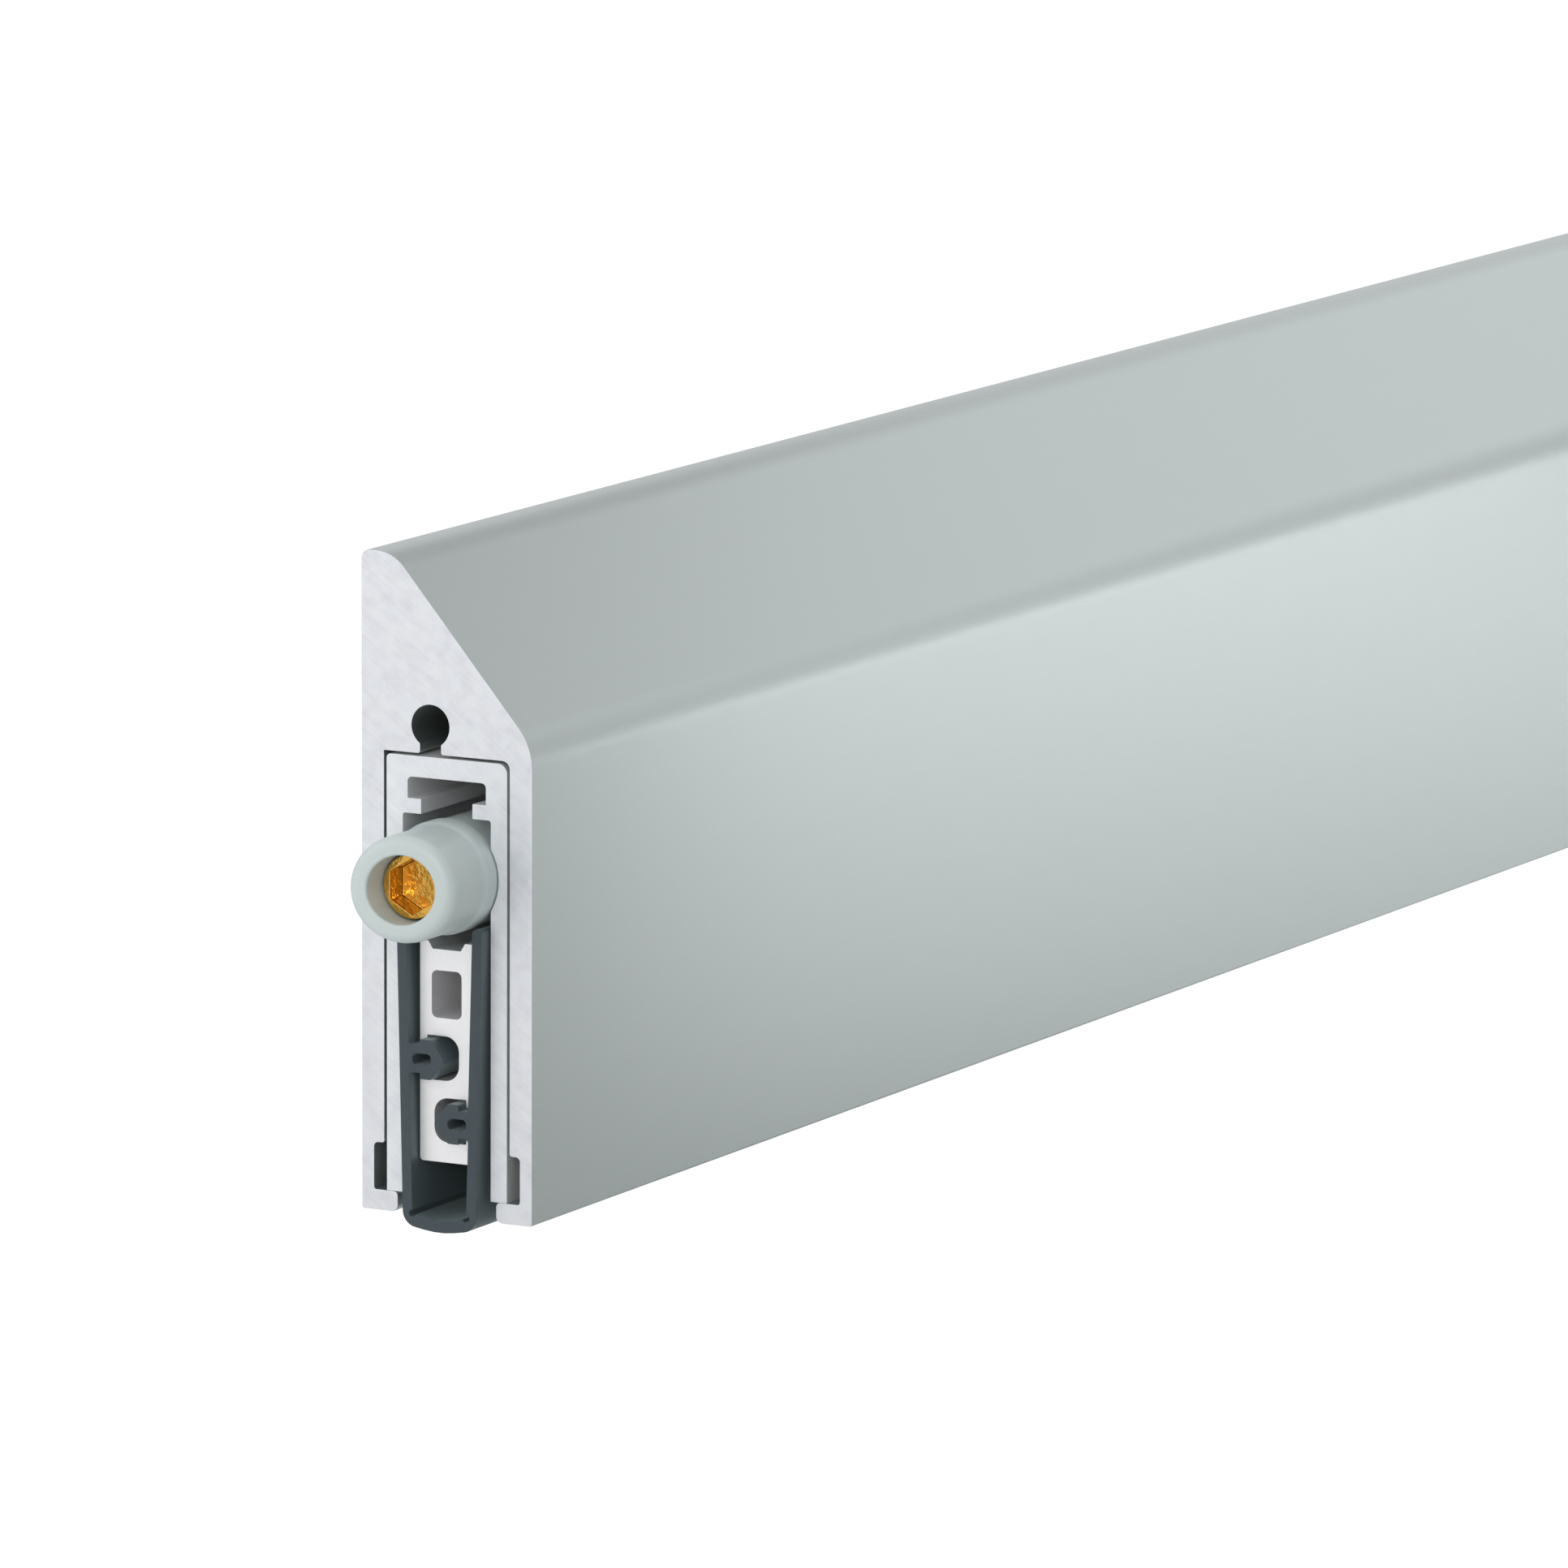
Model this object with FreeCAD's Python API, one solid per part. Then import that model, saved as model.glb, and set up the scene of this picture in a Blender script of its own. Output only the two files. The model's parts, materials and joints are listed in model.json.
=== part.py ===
import FreeCAD, Part
import math
import os

# Automatic door bottom seal, in millimetres. While it is built, X runs out from the door,
# Y runs along the rail from the release end and Z runs up from the housing's lower edge.
# save() moves each piece so that the origin is the middle of the face on the door.

# Rail and its housing
LENGTH = 335.0
HOUSING_DEPTH = 14.0
HOUSING_HEIGHT = 48.0
HOUSING_WALL = 1.85
GROOVE_WALL = 1.0
GROOVE_TOP_Z = 4.95
FLANGE_HEIGHT = 1.5
FLANGE_REACH = 2.95
ROOF_RATIO = 0.7
SLOPE_START_X = 2.6
SLOPE_RATIO = 0.725
BACK_CORNER_ROUND = 0.6
TOP_ROUND = 3.0
SHOULDER_ROUND = 4.5
PORT_RATIO = 0.405
PORT_RADIUS = 1.55
PORT_RISE = 2.03
PORT_NECK = 1.7
EDGE_ROUND = 0.2
TIP_ROUND = 0.35
FLANGE_ROUND = 0.5

# Inner channel
CHANNEL_GAP = 0.2
CHANNEL_WALL = 1.35
CHANNEL_WEB = 1.55
CHANNEL_ROUND = 0.75
SLOT_HEIGHT = 1.55
SLOT_SIDE = 1.75
RIB_HEIGHT = 1.1
RIB_REACH = 1.5

# Release button and its adjusting screw
BUTTON_RATIO = 1.1528
BUTTON_REACH = 7.6
BUTTON_ROUND = 0.8
BUTTON_SHANK = 18.0
BUTTON_WEB = 11.8
NOSE_RATIO = 0.945
NOSE_SLANT_RATIO = 0.25
BEAD_REACH = 0.9
BEAD_SLOPE = 0.8
BEAD_INSET = 0.4
SHANK_GAP = 0.15
COUNTERBORE_GAP = 0.1
RECESS_RATIO = 0.6024
RECESS_DEPTH = 5.0
RECESS_CHAMFER = 0.35
SCREW_HEAD_GAP = 0.15
SCREW_HEAD_LENGTH = 2.4
SCREW_HEAD_CHAMFER = 0.2
SCREW_RATIO = 0.6383
SCREW_LENGTH = 23.6
SCREW_FIT = 0.08
HEX_RATIO = 1.4894
HEX_DEPTH = 1.8
RETAINER_WIDTH = 0.7
RETAINER_THICKNESS = 0.7

# Push rod, its threaded sleeve and the return spring
SLEEVE_RATIO = 1.6
SLEEVE_FIT = 0.1
SLEEVE_START = 10.4
SLEEVE_END = 32.0
SLEEVE_TAPPED = 14.0
SLEEVE_PIN_RADIUS = 0.75
COLLAR_START = 19.0
COLLAR_END = 20.5
ROD_GROOVE_GAP = 0.15
ROD_SLEEVE_GAP = 0.1
ROD_START = 25.0
ROD_CRANK_START = 62.0
ROD_CRANK_END = 66.0
ROD_CRANK_ROUND = 2.0
ROD_TOP_GAP = 0.2
ROD_FIT = 0.15
SPRING_WIRE_RADIUS = 0.35
SPRING_GAP = 0.2
SPRING_TURNS = 5.5

# Guides in the channel
GUIDE_START = 44.0
GUIDE_LENGTH = 10.0
GUIDE_SIDE_GAP = 0.1
GUIDE_BOTTOM_GAP = 0.4
GUIDE_HEAD_HEIGHT = 1.2
GUIDE_NECK_GAP = 0.2
SEAL_GUIDE_LENGTH = 18.0
SEAL_GUIDE_INSET = 27.0
BLADE_LENGTH = 10.0
BLADE_FIT = 0.15
BLADE_TOP_GAP = 0.4
BLADE_ROUND = 0.8
RIVET_RADIUS = 1.0
RIVET_HEAD_RADIUS = 2.0
RIVET_HEAD_HEIGHT = 1.0
RIVET_LENGTH = 4.0

# Levers that lower the seal, and their pins
DROP = 8.0
LEVER_ARM = 20.0
LEVER_RATIO = 0.3636
LEVER_RIM = 0.9
LEVER_SIDE_GAP = 0.2
LIFT_GAP = 0.65
PIN_RADIUS = 0.8
PIN_FIT = 0.06
PIN_DROP = 0.1
PIN_HEAD_WIDTH = 0.45
PIN_HEAD_RATIO = 0.159
PIN_HEAD_GAP = 0.05
FRONT_STATION_RATIO = 0.33
REAR_STATION_RATIO = 0.75

# Seal carrier and the brackets on it
CARRIER_RATIO = 0.6111
CARRIER_BOTTOM_Z = 4.0
CARRIER_ROUND = 0.3
CARRIER_GROOVE = 0.57
GROOVE_MOUTH_RATIO = 0.682
GROOVE_FLOOR_RATIO = 0.5227
WINDOW_WIDTH_RATIO = 0.5545
WINDOW_HEIGHT_RATIO = 0.214
WINDOW_WEB = 1.55
WINDOW_ROUND = 0.45
LIP_THICKNESS = 0.6
LIP_REACH = 0.55
CLIP_HEIGHT_RATIO = 0.2
CLIP_DEPTH_RATIO = 1.4546
CLIP_CORNER = 0.5
UPPER_CLIP_RATIO = 0.472
LOWER_CLIP_RATIO = 0.1925
BRACKET_LENGTH = 6.0
BRACKET_FOOT_LENGTH = 15.0
BRACKET_FOOT_HEIGHT = 0.8
BRACKET_ABOVE_PIN = 1.3
BRACKET_ROUND = 1.5
LOWER_PIN_RATIO = 0.2747
FOOT_RIVET_RATIO = 0.7
FOOT_RIVET_HEAD_HEIGHT = 0.45
FOOT_RIVET_INSET = 2.0

# Rubber seal
RUBBER_OVERHANG = 1.1
RUBBER_TOP_RISE = 1.3
RUBBER_SIDE_GAP = 0.1
RUBBER_WALL_RATIO = 0.2222
RUBBER_TAPER_RATIO = 0.1389
RUBBER_TIP_ROUND = 0.3
SOLE_BOTTOM_Z = -1.05
SOLE_CORNER_Z = -0.55
SOLE_CORNER_ROUND = 1.2
SOLE_INNER_ROUND = 0.4
SOLE_ROUND_RATIO = 2.5
SOLE_THICKNESS = 0.85
SOLE_NOTCH_RADIUS = 0.28
BARB_STEM_GAP = 0.05
BARB_GAP = 0.15
BARB_TIP_GAP = 0.5
BARB_SHOULDER_RATIO = 0.43
BARB_TIP_ROUND = 0.5
BARB_HOLE_RATIO = 0.4
BARB_HOLE_ROUND_RATIO = 0.8

# Levels and widths that follow from the values above
MID_X = HOUSING_DEPTH / 2
PORT_X = PORT_RATIO * HOUSING_DEPTH
CAVITY_HALF = MID_X - HOUSING_WALL
CAVITY_TOP_Z = ROOF_RATIO * HOUSING_HEIGHT
CHANNEL_HALF = CAVITY_HALF - CHANNEL_GAP
CHANNEL_TOP_Z = CAVITY_TOP_Z - CHANNEL_GAP
BORE_HALF = CHANNEL_HALF - CHANNEL_WALL
SLOT_HALF = CHANNEL_HALF - SLOT_SIDE
SLOT_TOP_Z = CHANNEL_TOP_Z - CHANNEL_WEB
SLOT_FLOOR_Z = SLOT_TOP_Z - SLOT_HEIGHT
RIB_BOTTOM_Z = SLOT_FLOOR_Z - RIB_HEIGHT
RIB_GAP_HALF = BORE_HALF - RIB_REACH

BUTTON_RADIUS = BUTTON_RATIO * BORE_HALF
BUTTON_Z = RIB_BOTTOM_Z - BUTTON_RADIUS - SHANK_GAP
NOSE_RADIUS = NOSE_RATIO * BUTTON_RADIUS
SHANK_RADIUS = BUTTON_RADIUS - SHANK_GAP
RECESS_RADIUS = RECESS_RATIO * BUTTON_RADIUS
RECESS_FLOOR_Y = RECESS_DEPTH - BUTTON_REACH
SCREW_HEAD_RADIUS = RECESS_RADIUS - SCREW_HEAD_GAP
SCREW_RADIUS = SCREW_RATIO * SCREW_HEAD_RADIUS
HEX_ACROSS_FLATS = HEX_RATIO * SCREW_HEAD_RADIUS
RETAINER_RADIUS = SCREW_RADIUS + RETAINER_WIDTH
SLEEVE_RADIUS = SLEEVE_RATIO * SCREW_RADIUS
SPRING_MEAN_RADIUS = SLEEVE_RADIUS + SPRING_GAP + SPRING_WIRE_RADIUS
COLLAR_RADIUS = SPRING_MEAN_RADIUS + SPRING_WIRE_RADIUS

LIFT_SPACE = 2 * BUTTON_RADIUS + SHANK_GAP + LIFT_GAP
CARRIER_HALF = CARRIER_RATIO * BORE_HALF
CARRIER_TOP_Z = RIB_BOTTOM_Z - LIFT_SPACE
CARRIER_HEIGHT = CARRIER_TOP_Z - CARRIER_BOTTOM_Z
GROOVE_Z = CARRIER_TOP_Z - CARRIER_GROOVE
GROOVE_MOUTH_HALF = GROOVE_MOUTH_RATIO * CARRIER_HALF
GROOVE_FLOOR_HALF = GROOVE_FLOOR_RATIO * CARRIER_HALF
WINDOW_HALF = WINDOW_WIDTH_RATIO * CARRIER_HALF
WINDOW_HEIGHT = WINDOW_HEIGHT_RATIO * CARRIER_HEIGHT
CLIP_HEIGHT = CLIP_HEIGHT_RATIO * CARRIER_HEIGHT
CLIP_DEPTH = CLIP_DEPTH_RATIO * CARRIER_HALF
CLIP_MOUTH = CLIP_HEIGHT - 2 * LIP_REACH
UPPER_CLIP_Z = CARRIER_BOTTOM_Z + UPPER_CLIP_RATIO * CARRIER_HEIGHT
LOWER_CLIP_Z = CARRIER_BOTTOM_Z + LOWER_CLIP_RATIO * CARRIER_HEIGHT

ROD_HALF = GROOVE_FLOOR_HALF - ROD_GROOVE_GAP
ROD_HEIGHT = 2 * (SLEEVE_RADIUS - ROD_SLEEVE_GAP)
ROD_HIGH_TOP_Z = RIB_BOTTOM_Z - ROD_TOP_GAP
ROD_HIGH_BOTTOM_Z = ROD_HIGH_TOP_Z - ROD_HEIGHT
ROD_LOW_TOP_Z = BUTTON_Z + ROD_HEIGHT / 2
ROD_LOW_BOTTOM_Z = BUTTON_Z - ROD_HEIGHT / 2
PIN_HEAD_RADIUS = PIN_RADIUS + PIN_HEAD_WIDTH
PIN_HEAD_THICKNESS = PIN_HEAD_RATIO * CARRIER_HALF
PIVOT_Z = ROD_HIGH_TOP_Z - ROD_HEIGHT / 2 - PIN_DROP
LOWER_PIN_Z = CARRIER_TOP_Z + LOWER_PIN_RATIO * LIFT_SPACE
FOOT_RIVET_RADIUS = FOOT_RIVET_RATIO * ROD_HALF
FOOT_RIVET_HEAD = ROD_HALF
LEVER_THICKNESS = LEVER_RATIO * CARRIER_HALF
LEVER_HALF_WIDTH = PIN_RADIUS + LEVER_RIM
LEVER_RISE = PIVOT_Z - LOWER_PIN_Z
LEVER_SPAN = math.sqrt(LEVER_ARM ** 2 - LEVER_RISE ** 2)
STROKE = LEVER_SPAN - math.sqrt(LEVER_ARM ** 2 - (LEVER_RISE + DROP) ** 2)
SLOT_TRAVEL = LEVER_ARM - math.hypot(LEVER_SPAN - STROKE / 2, LEVER_RISE + DROP / 2)
FRONT_PIVOT_Y = FRONT_STATION_RATIO * LENGTH
REAR_PIVOT_Y = REAR_STATION_RATIO * LENGTH

RUBBER_TOP_Z = CARRIER_TOP_Z + RUBBER_TOP_RISE
RUBBER_TOP_HALF = BORE_HALF - RUBBER_SIDE_GAP
RUBBER_WALL = RUBBER_WALL_RATIO * BORE_HALF
RUBBER_TAPER = RUBBER_TAPER_RATIO * BORE_HALF
RUBBER_FOOT_HALF = RUBBER_TOP_HALF - RUBBER_TAPER
BARB_STEM = CLIP_MOUTH - 2 * BARB_STEM_GAP
BARB_HEIGHT = CLIP_HEIGHT - 2 * BARB_GAP
BARB_LENGTH = CLIP_DEPTH - LIP_THICKNESS - BARB_TIP_GAP
BARB_SHOULDER = BARB_SHOULDER_RATIO * BARB_LENGTH
BARB_HOLE_LENGTH = BARB_SHOULDER + LIP_THICKNESS
BARB_HOLE_HEIGHT = BARB_HOLE_RATIO * BARB_STEM

GUIDE_BOTTOM_Z = RUBBER_TOP_Z + GUIDE_BOTTOM_GAP
SEAL_GUIDE_Y = LENGTH - SEAL_GUIDE_INSET
REAR_GUIDE_Y = SEAL_GUIDE_Y - 2 * GUIDE_LENGTH - STROKE
ROD_END = REAR_GUIDE_Y + GUIDE_LENGTH + STROKE
BLADE_FOOT = (SEAL_GUIDE_LENGTH - BLADE_LENGTH) / 2
BLADE_Y = SEAL_GUIDE_Y + BLADE_FOOT

ORIGIN = FreeCAD.Vector(0, LENGTH / 2, HOUSING_HEIGHT / 2)
ALONG = FreeCAD.Vector(0, 1, 0)
ACROSS = FreeCAD.Vector(1, 0, 0)
UP = FreeCAD.Vector(0, 0, 1)


def save(node, *solids):
    """Write the solids of one node to its file, moved to the frame of the part."""
    shape = solids[0] if len(solids) == 1 else Part.makeCompound(list(solids))
    shape = shape.copy()
    shape.translate(ORIGIN.negative())
    shape.exportStep("parts/" + node + ".step")


def rounded_face(corners, to_point):
    """Face inside a closed outline of (u, v, radius) corners, each rounded to its radius."""
    points = [to_point(u, v) for u, v, radius in corners]
    edges = []
    last_end = None
    first_start = None
    for i, (u, v, radius) in enumerate(corners):
        here = points[i]
        back = (points[i - 1] - here).normalize()
        ahead = (points[(i + 1) % len(points)] - here).normalize()
        start = here
        end = here
        if radius > 0:
            half_angle = back.getAngle(ahead) / 2
            start = here + back * (radius / math.tan(half_angle))
            end = here + ahead * (radius / math.tan(half_angle))
        if last_end is not None and (start - last_end).Length > 1e-6:
            edges.append(Part.makeLine(last_end, start))
        if radius > 0:
            inward = (back + ahead).normalize()
            middle = here + inward * (radius / math.sin(half_angle) - radius)
            edges.append(Part.Arc(start, middle, end).toShape())
        last_end = end
        first_start = first_start or start
    if (first_start - last_end).Length > 1e-6:
        edges.append(Part.makeLine(last_end, first_start))
    return Part.Face(Part.Wire(edges))


def extrusion(corners, start, end):
    """Solid with an outline in X and Z, running along the rail from start to end."""
    face = rounded_face(corners, lambda x, z: FreeCAD.Vector(x, start, z))
    return face.extrude(ALONG * (end - start))


def plate(corners, start, end):
    """Solid with an outline in Y and Z, running across the rail from start to end."""
    face = rounded_face(corners, lambda y, z: FreeCAD.Vector(start, y, z))
    return face.extrude(ACROSS * (end - start))


def rod_along(radius, start, end, x, z):
    return Part.makeCylinder(radius, end - start, FreeCAD.Vector(x, start, z), ALONG)


def rod_across(radius, half_length, y, z):
    start = FreeCAD.Vector(MID_X - half_length, y, z)
    return Part.makeCylinder(radius, 2 * half_length, start, ACROSS)


def box(x_half, y_start, y_end, z_start, z_end):
    """Box centred on the middle of the rail's depth."""
    corner = FreeCAD.Vector(MID_X - x_half, y_start, z_start)
    return Part.makeBox(2 * x_half, y_end - y_start, z_end - z_start, corner)


def make_housing():
    """Outer rail: wedge top, screw port over the roof, flanges under the open bottom."""
    groove_half = MID_X - GROOVE_WALL
    mouth_half = MID_X - FLANGE_REACH
    port_z = CAVITY_TOP_Z + PORT_RISE
    outline = [
        (0, 0, EDGE_ROUND),
        (0, HOUSING_HEIGHT, BACK_CORNER_ROUND),
        (SLOPE_START_X, HOUSING_HEIGHT, TOP_ROUND),
        (HOUSING_DEPTH, SLOPE_RATIO * HOUSING_HEIGHT, SHOULDER_ROUND),
        (HOUSING_DEPTH, 0, EDGE_ROUND),
        (MID_X + mouth_half, 0, FLANGE_ROUND),
        (MID_X + mouth_half, FLANGE_HEIGHT, TIP_ROUND),
        (MID_X + groove_half, FLANGE_HEIGHT, EDGE_ROUND),
        (MID_X + groove_half, GROOVE_TOP_Z, TIP_ROUND),
        (MID_X + CAVITY_HALF, GROOVE_TOP_Z, EDGE_ROUND),
        (MID_X + CAVITY_HALF, CAVITY_TOP_Z, BACK_CORNER_ROUND),
        (PORT_X + PORT_NECK / 2, CAVITY_TOP_Z, EDGE_ROUND),
        (PORT_X + PORT_NECK / 2, port_z, 0),
        (PORT_X - PORT_NECK / 2, port_z, 0),
        (PORT_X - PORT_NECK / 2, CAVITY_TOP_Z, EDGE_ROUND),
        (MID_X - CAVITY_HALF, CAVITY_TOP_Z, 0),
        (MID_X - CAVITY_HALF, GROOVE_TOP_Z, EDGE_ROUND),
        (MID_X - groove_half, GROOVE_TOP_Z, TIP_ROUND),
        (MID_X - groove_half, FLANGE_HEIGHT, EDGE_ROUND),
        (MID_X - mouth_half, FLANGE_HEIGHT, TIP_ROUND),
        (MID_X - mouth_half, 0, FLANGE_ROUND),
    ]
    port = rod_along(PORT_RADIUS, 0, LENGTH, PORT_X, port_z)
    return extrusion(outline, 0, LENGTH).cut(port)


def make_channel():
    """Inner channel standing on the housing's flanges, with a T-slot under its top."""
    outline = [
        (MID_X - CHANNEL_HALF, FLANGE_HEIGHT, 0),
        (MID_X - CHANNEL_HALF, CHANNEL_TOP_Z, TIP_ROUND),
        (MID_X + CHANNEL_HALF, CHANNEL_TOP_Z, CHANNEL_ROUND),
        (MID_X + CHANNEL_HALF, FLANGE_HEIGHT, 0),
        (MID_X + BORE_HALF, FLANGE_HEIGHT, 0),
        (MID_X + BORE_HALF, RIB_BOTTOM_Z, EDGE_ROUND),
        (MID_X + RIB_GAP_HALF, RIB_BOTTOM_Z, 0),
        (MID_X + RIB_GAP_HALF, SLOT_FLOOR_Z, 0),
        (MID_X + SLOT_HALF, SLOT_FLOOR_Z, 0),
        (MID_X + SLOT_HALF, SLOT_TOP_Z, TIP_ROUND),
        (MID_X - SLOT_HALF, SLOT_TOP_Z, TIP_ROUND),
        (MID_X - SLOT_HALF, SLOT_FLOOR_Z, 0),
        (MID_X - RIB_GAP_HALF, SLOT_FLOOR_Z, 0),
        (MID_X - RIB_GAP_HALF, RIB_BOTTOM_Z, 0),
        (MID_X - BORE_HALF, RIB_BOTTOM_Z, EDGE_ROUND),
        (MID_X - BORE_HALF, FLANGE_HEIGHT, 0),
    ]
    channel = extrusion(outline, 0, LENGTH)
    depth = BEAD_INSET + STROKE + 2 * COUNTERBORE_GAP
    counterbore = rod_along(BUTTON_RADIUS + COUNTERBORE_GAP, 0, depth, MID_X, BUTTON_Z)
    return channel.cut([counterbore] + [make_guide_rivet(y) for y in guide_rivet_places()])


def make_button():
    """Moulded button: slanted nose with a recess, bead behind it, flat-sided shank with a bore."""
    outline = [
        (SCREW_RADIUS, RECESS_FLOOR_Y, 0),
        (RECESS_RADIUS, RECESS_FLOOR_Y, 0),
        (RECESS_RADIUS, -BUTTON_REACH, 0),
        (NOSE_RADIUS, -BUTTON_REACH, 0),
        (NOSE_RADIUS, -BEAD_REACH - BEAD_SLOPE, 0),
        (BUTTON_RADIUS, -BEAD_REACH, 0),
        (BUTTON_RADIUS, BEAD_INSET, 0),
        (SCREW_RADIUS, BEAD_INSET, 0),
    ]
    half_section = rounded_face(outline, lambda r, y: FreeCAD.Vector(MID_X + r, y, BUTTON_Z))
    head = half_section.revolve(FreeCAD.Vector(MID_X, 0, BUTTON_Z), ALONG, 360)
    head = head.cut(make_slant())
    rims = [edge for edge in head.Edges if isinstance(edge.Curve, Part.Ellipse)]
    rims.sort(key=lambda edge: edge.Length)
    head = head.makeFillet(BUTTON_ROUND, [rims[-1]])
    rims = [edge for edge in head.Edges if isinstance(edge.Curve, Part.Ellipse)]
    rims.sort(key=lambda edge: edge.Length)
    head = head.makeChamfer(RECESS_CHAMFER, [rims[0]])
    shank = rod_along(SHANK_RADIUS, 0, BUTTON_SHANK, MID_X, BUTTON_Z)
    flats = box(BORE_HALF - SHANK_GAP, 0, BUTTON_SHANK,
                BUTTON_Z - BUTTON_RADIUS, BUTTON_Z + BUTTON_RADIUS)
    screw_hole = rod_along(SCREW_RADIUS + SCREW_FIT, RECESS_FLOOR_Y, BUTTON_SHANK, MID_X, BUTTON_Z)
    sleeve_bore = rod_along(SLEEVE_RADIUS + SLEEVE_FIT, RECESS_FLOOR_Y + BUTTON_WEB,
                            BUTTON_SHANK, MID_X, BUTTON_Z)
    return head.fuse(shank.common(flats)).cut([screw_hole, sleeve_bore])


def make_slant():
    """Wedge that is cut off the front of the nose, which reaches furthest on the door's side."""
    back_y = NOSE_SLANT_RATIO * 2 * NOSE_RADIUS - BUTTON_REACH
    corners = [
        (MID_X - NOSE_RADIUS, -BUTTON_REACH, 0),
        (MID_X + NOSE_RADIUS, back_y, 0),
        (MID_X + 2 * NOSE_RADIUS, back_y, 0),
        (MID_X + 2 * NOSE_RADIUS, -2 * BUTTON_REACH, 0),
        (MID_X - 2 * NOSE_RADIUS, -2 * BUTTON_REACH, 0),
        (MID_X - 2 * NOSE_RADIUS, -BUTTON_REACH, 0),
    ]
    low_z = BUTTON_Z - 2 * NOSE_RADIUS
    face = rounded_face(corners, lambda x, y: FreeCAD.Vector(x, y, low_z))
    return face.extrude(UP * 4 * NOSE_RADIUS)


def ring_edge(shape, radius, y):
    """The full circle of that radius about the button's axis, nearest to that Y."""
    rings = [edge for edge in shape.Edges
             if isinstance(edge.Curve, Part.Circle) and abs(edge.Curve.Radius - radius) < 1e-4]
    return min(rings, key=lambda edge: abs(edge.CenterOfMass.y - y))


def make_screw():
    """Adjusting screw with a hexagon socket, held in the button and threaded in the sleeve."""
    start = RECESS_FLOOR_Y - SCREW_HEAD_LENGTH
    head = rod_along(SCREW_HEAD_RADIUS, start, RECESS_FLOOR_Y, MID_X, BUTTON_Z)
    head = head.makeChamfer(SCREW_HEAD_CHAMFER, [ring_edge(head, SCREW_HEAD_RADIUS, start)])
    thread = rod_along(SCREW_RADIUS, RECESS_FLOOR_Y, RECESS_FLOOR_Y + SCREW_LENGTH, MID_X, BUTTON_Z)
    corner_radius = HEX_ACROSS_FLATS / math.sqrt(3)
    hexagon = [(MID_X + corner_radius * math.sin(math.radians(60 * k)),
                BUTTON_Z + corner_radius * math.cos(math.radians(60 * k)), 0) for k in range(6)]
    return head.fuse(thread).cut(extrusion(hexagon, start, start + HEX_DEPTH))


def make_retainer():
    """Ring on the screw behind the button's web, so the screw carries the button out."""
    start = RECESS_FLOOR_Y + BUTTON_WEB
    ring = rod_along(RETAINER_RADIUS, start, start + RETAINER_THICKNESS, MID_X, BUTTON_Z)
    return ring.cut(rod_along(SCREW_RADIUS, start, start + RETAINER_THICKNESS, MID_X, BUTTON_Z))


def make_sleeve():
    """Turned sleeve on the rod's front end: tapped for the screw, with the spring's collar."""
    body = rod_along(SLEEVE_RADIUS, SLEEVE_START, SLEEVE_END, MID_X, BUTTON_Z)
    collar = rod_along(COLLAR_RADIUS, COLLAR_START, COLLAR_END, MID_X, BUTTON_Z)
    tapped = rod_along(SCREW_RADIUS + SCREW_FIT, SLEEVE_START, SLEEVE_START + SLEEVE_TAPPED,
                       MID_X, BUTTON_Z)
    slot = box(ROD_HALF, ROD_START, SLEEVE_END,
               BUTTON_Z - SLEEVE_RADIUS, BUTTON_Z + SLEEVE_RADIUS)
    return body.fuse(collar).cut([tapped, slot, make_sleeve_pin()])


def make_sleeve_pin():
    """Cross pin through the sleeve and the rod."""
    half_length = math.sqrt(SLEEVE_RADIUS ** 2 - SLEEVE_PIN_RADIUS ** 2)
    return rod_across(SLEEVE_PIN_RADIUS, half_length, (ROD_START + SLEEVE_END) / 2, BUTTON_Z)


def make_rod():
    """Flat rod, low in the spring and the front guide, then cranked up over the brackets."""
    outline = [
        (ROD_START, ROD_LOW_BOTTOM_Z, TIP_ROUND),
        (ROD_CRANK_START, ROD_LOW_BOTTOM_Z, ROD_CRANK_ROUND),
        (ROD_CRANK_END, ROD_HIGH_BOTTOM_Z, ROD_CRANK_ROUND),
        (ROD_END, ROD_HIGH_BOTTOM_Z, BLADE_ROUND),
        (ROD_END, ROD_HIGH_TOP_Z, BLADE_ROUND),
        (ROD_CRANK_END, ROD_HIGH_TOP_Z, ROD_CRANK_ROUND),
        (ROD_CRANK_START, ROD_LOW_TOP_Z, ROD_CRANK_ROUND),
        (ROD_START, ROD_LOW_TOP_Z, TIP_ROUND),
    ]
    rod = plate(outline, MID_X - ROD_HALF, MID_X + ROD_HALF)
    pins = [make_pin(y, PIVOT_Z) for y in (FRONT_PIVOT_Y, REAR_PIVOT_Y)]
    return rod.cut(pins + [make_sleeve_pin()])


def make_spring():
    """Return spring over the sleeve, from its collar to the front guide, of four-sided wire."""
    start = COLLAR_END + SPRING_WIRE_RADIUS
    height = GUIDE_START - SPRING_WIRE_RADIUS - start
    helix = Part.makeHelix(height / SPRING_TURNS, height, SPRING_MEAN_RADIUS)
    angles = [math.radians(90 * k) for k in range(5)]
    wire_end = Part.makePolygon([
        FreeCAD.Vector(SPRING_MEAN_RADIUS + SPRING_WIRE_RADIUS * math.cos(angle), 0,
                       SPRING_WIRE_RADIUS * math.sin(angle)) for angle in angles])
    coil = Part.Wire(helix).makePipeShell([wire_end], True, True)
    coil.rotate(FreeCAD.Vector(0, 0, 0), ACROSS, -90)
    coil.translate(FreeCAD.Vector(MID_X, start, BUTTON_Z))
    return coil


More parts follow.
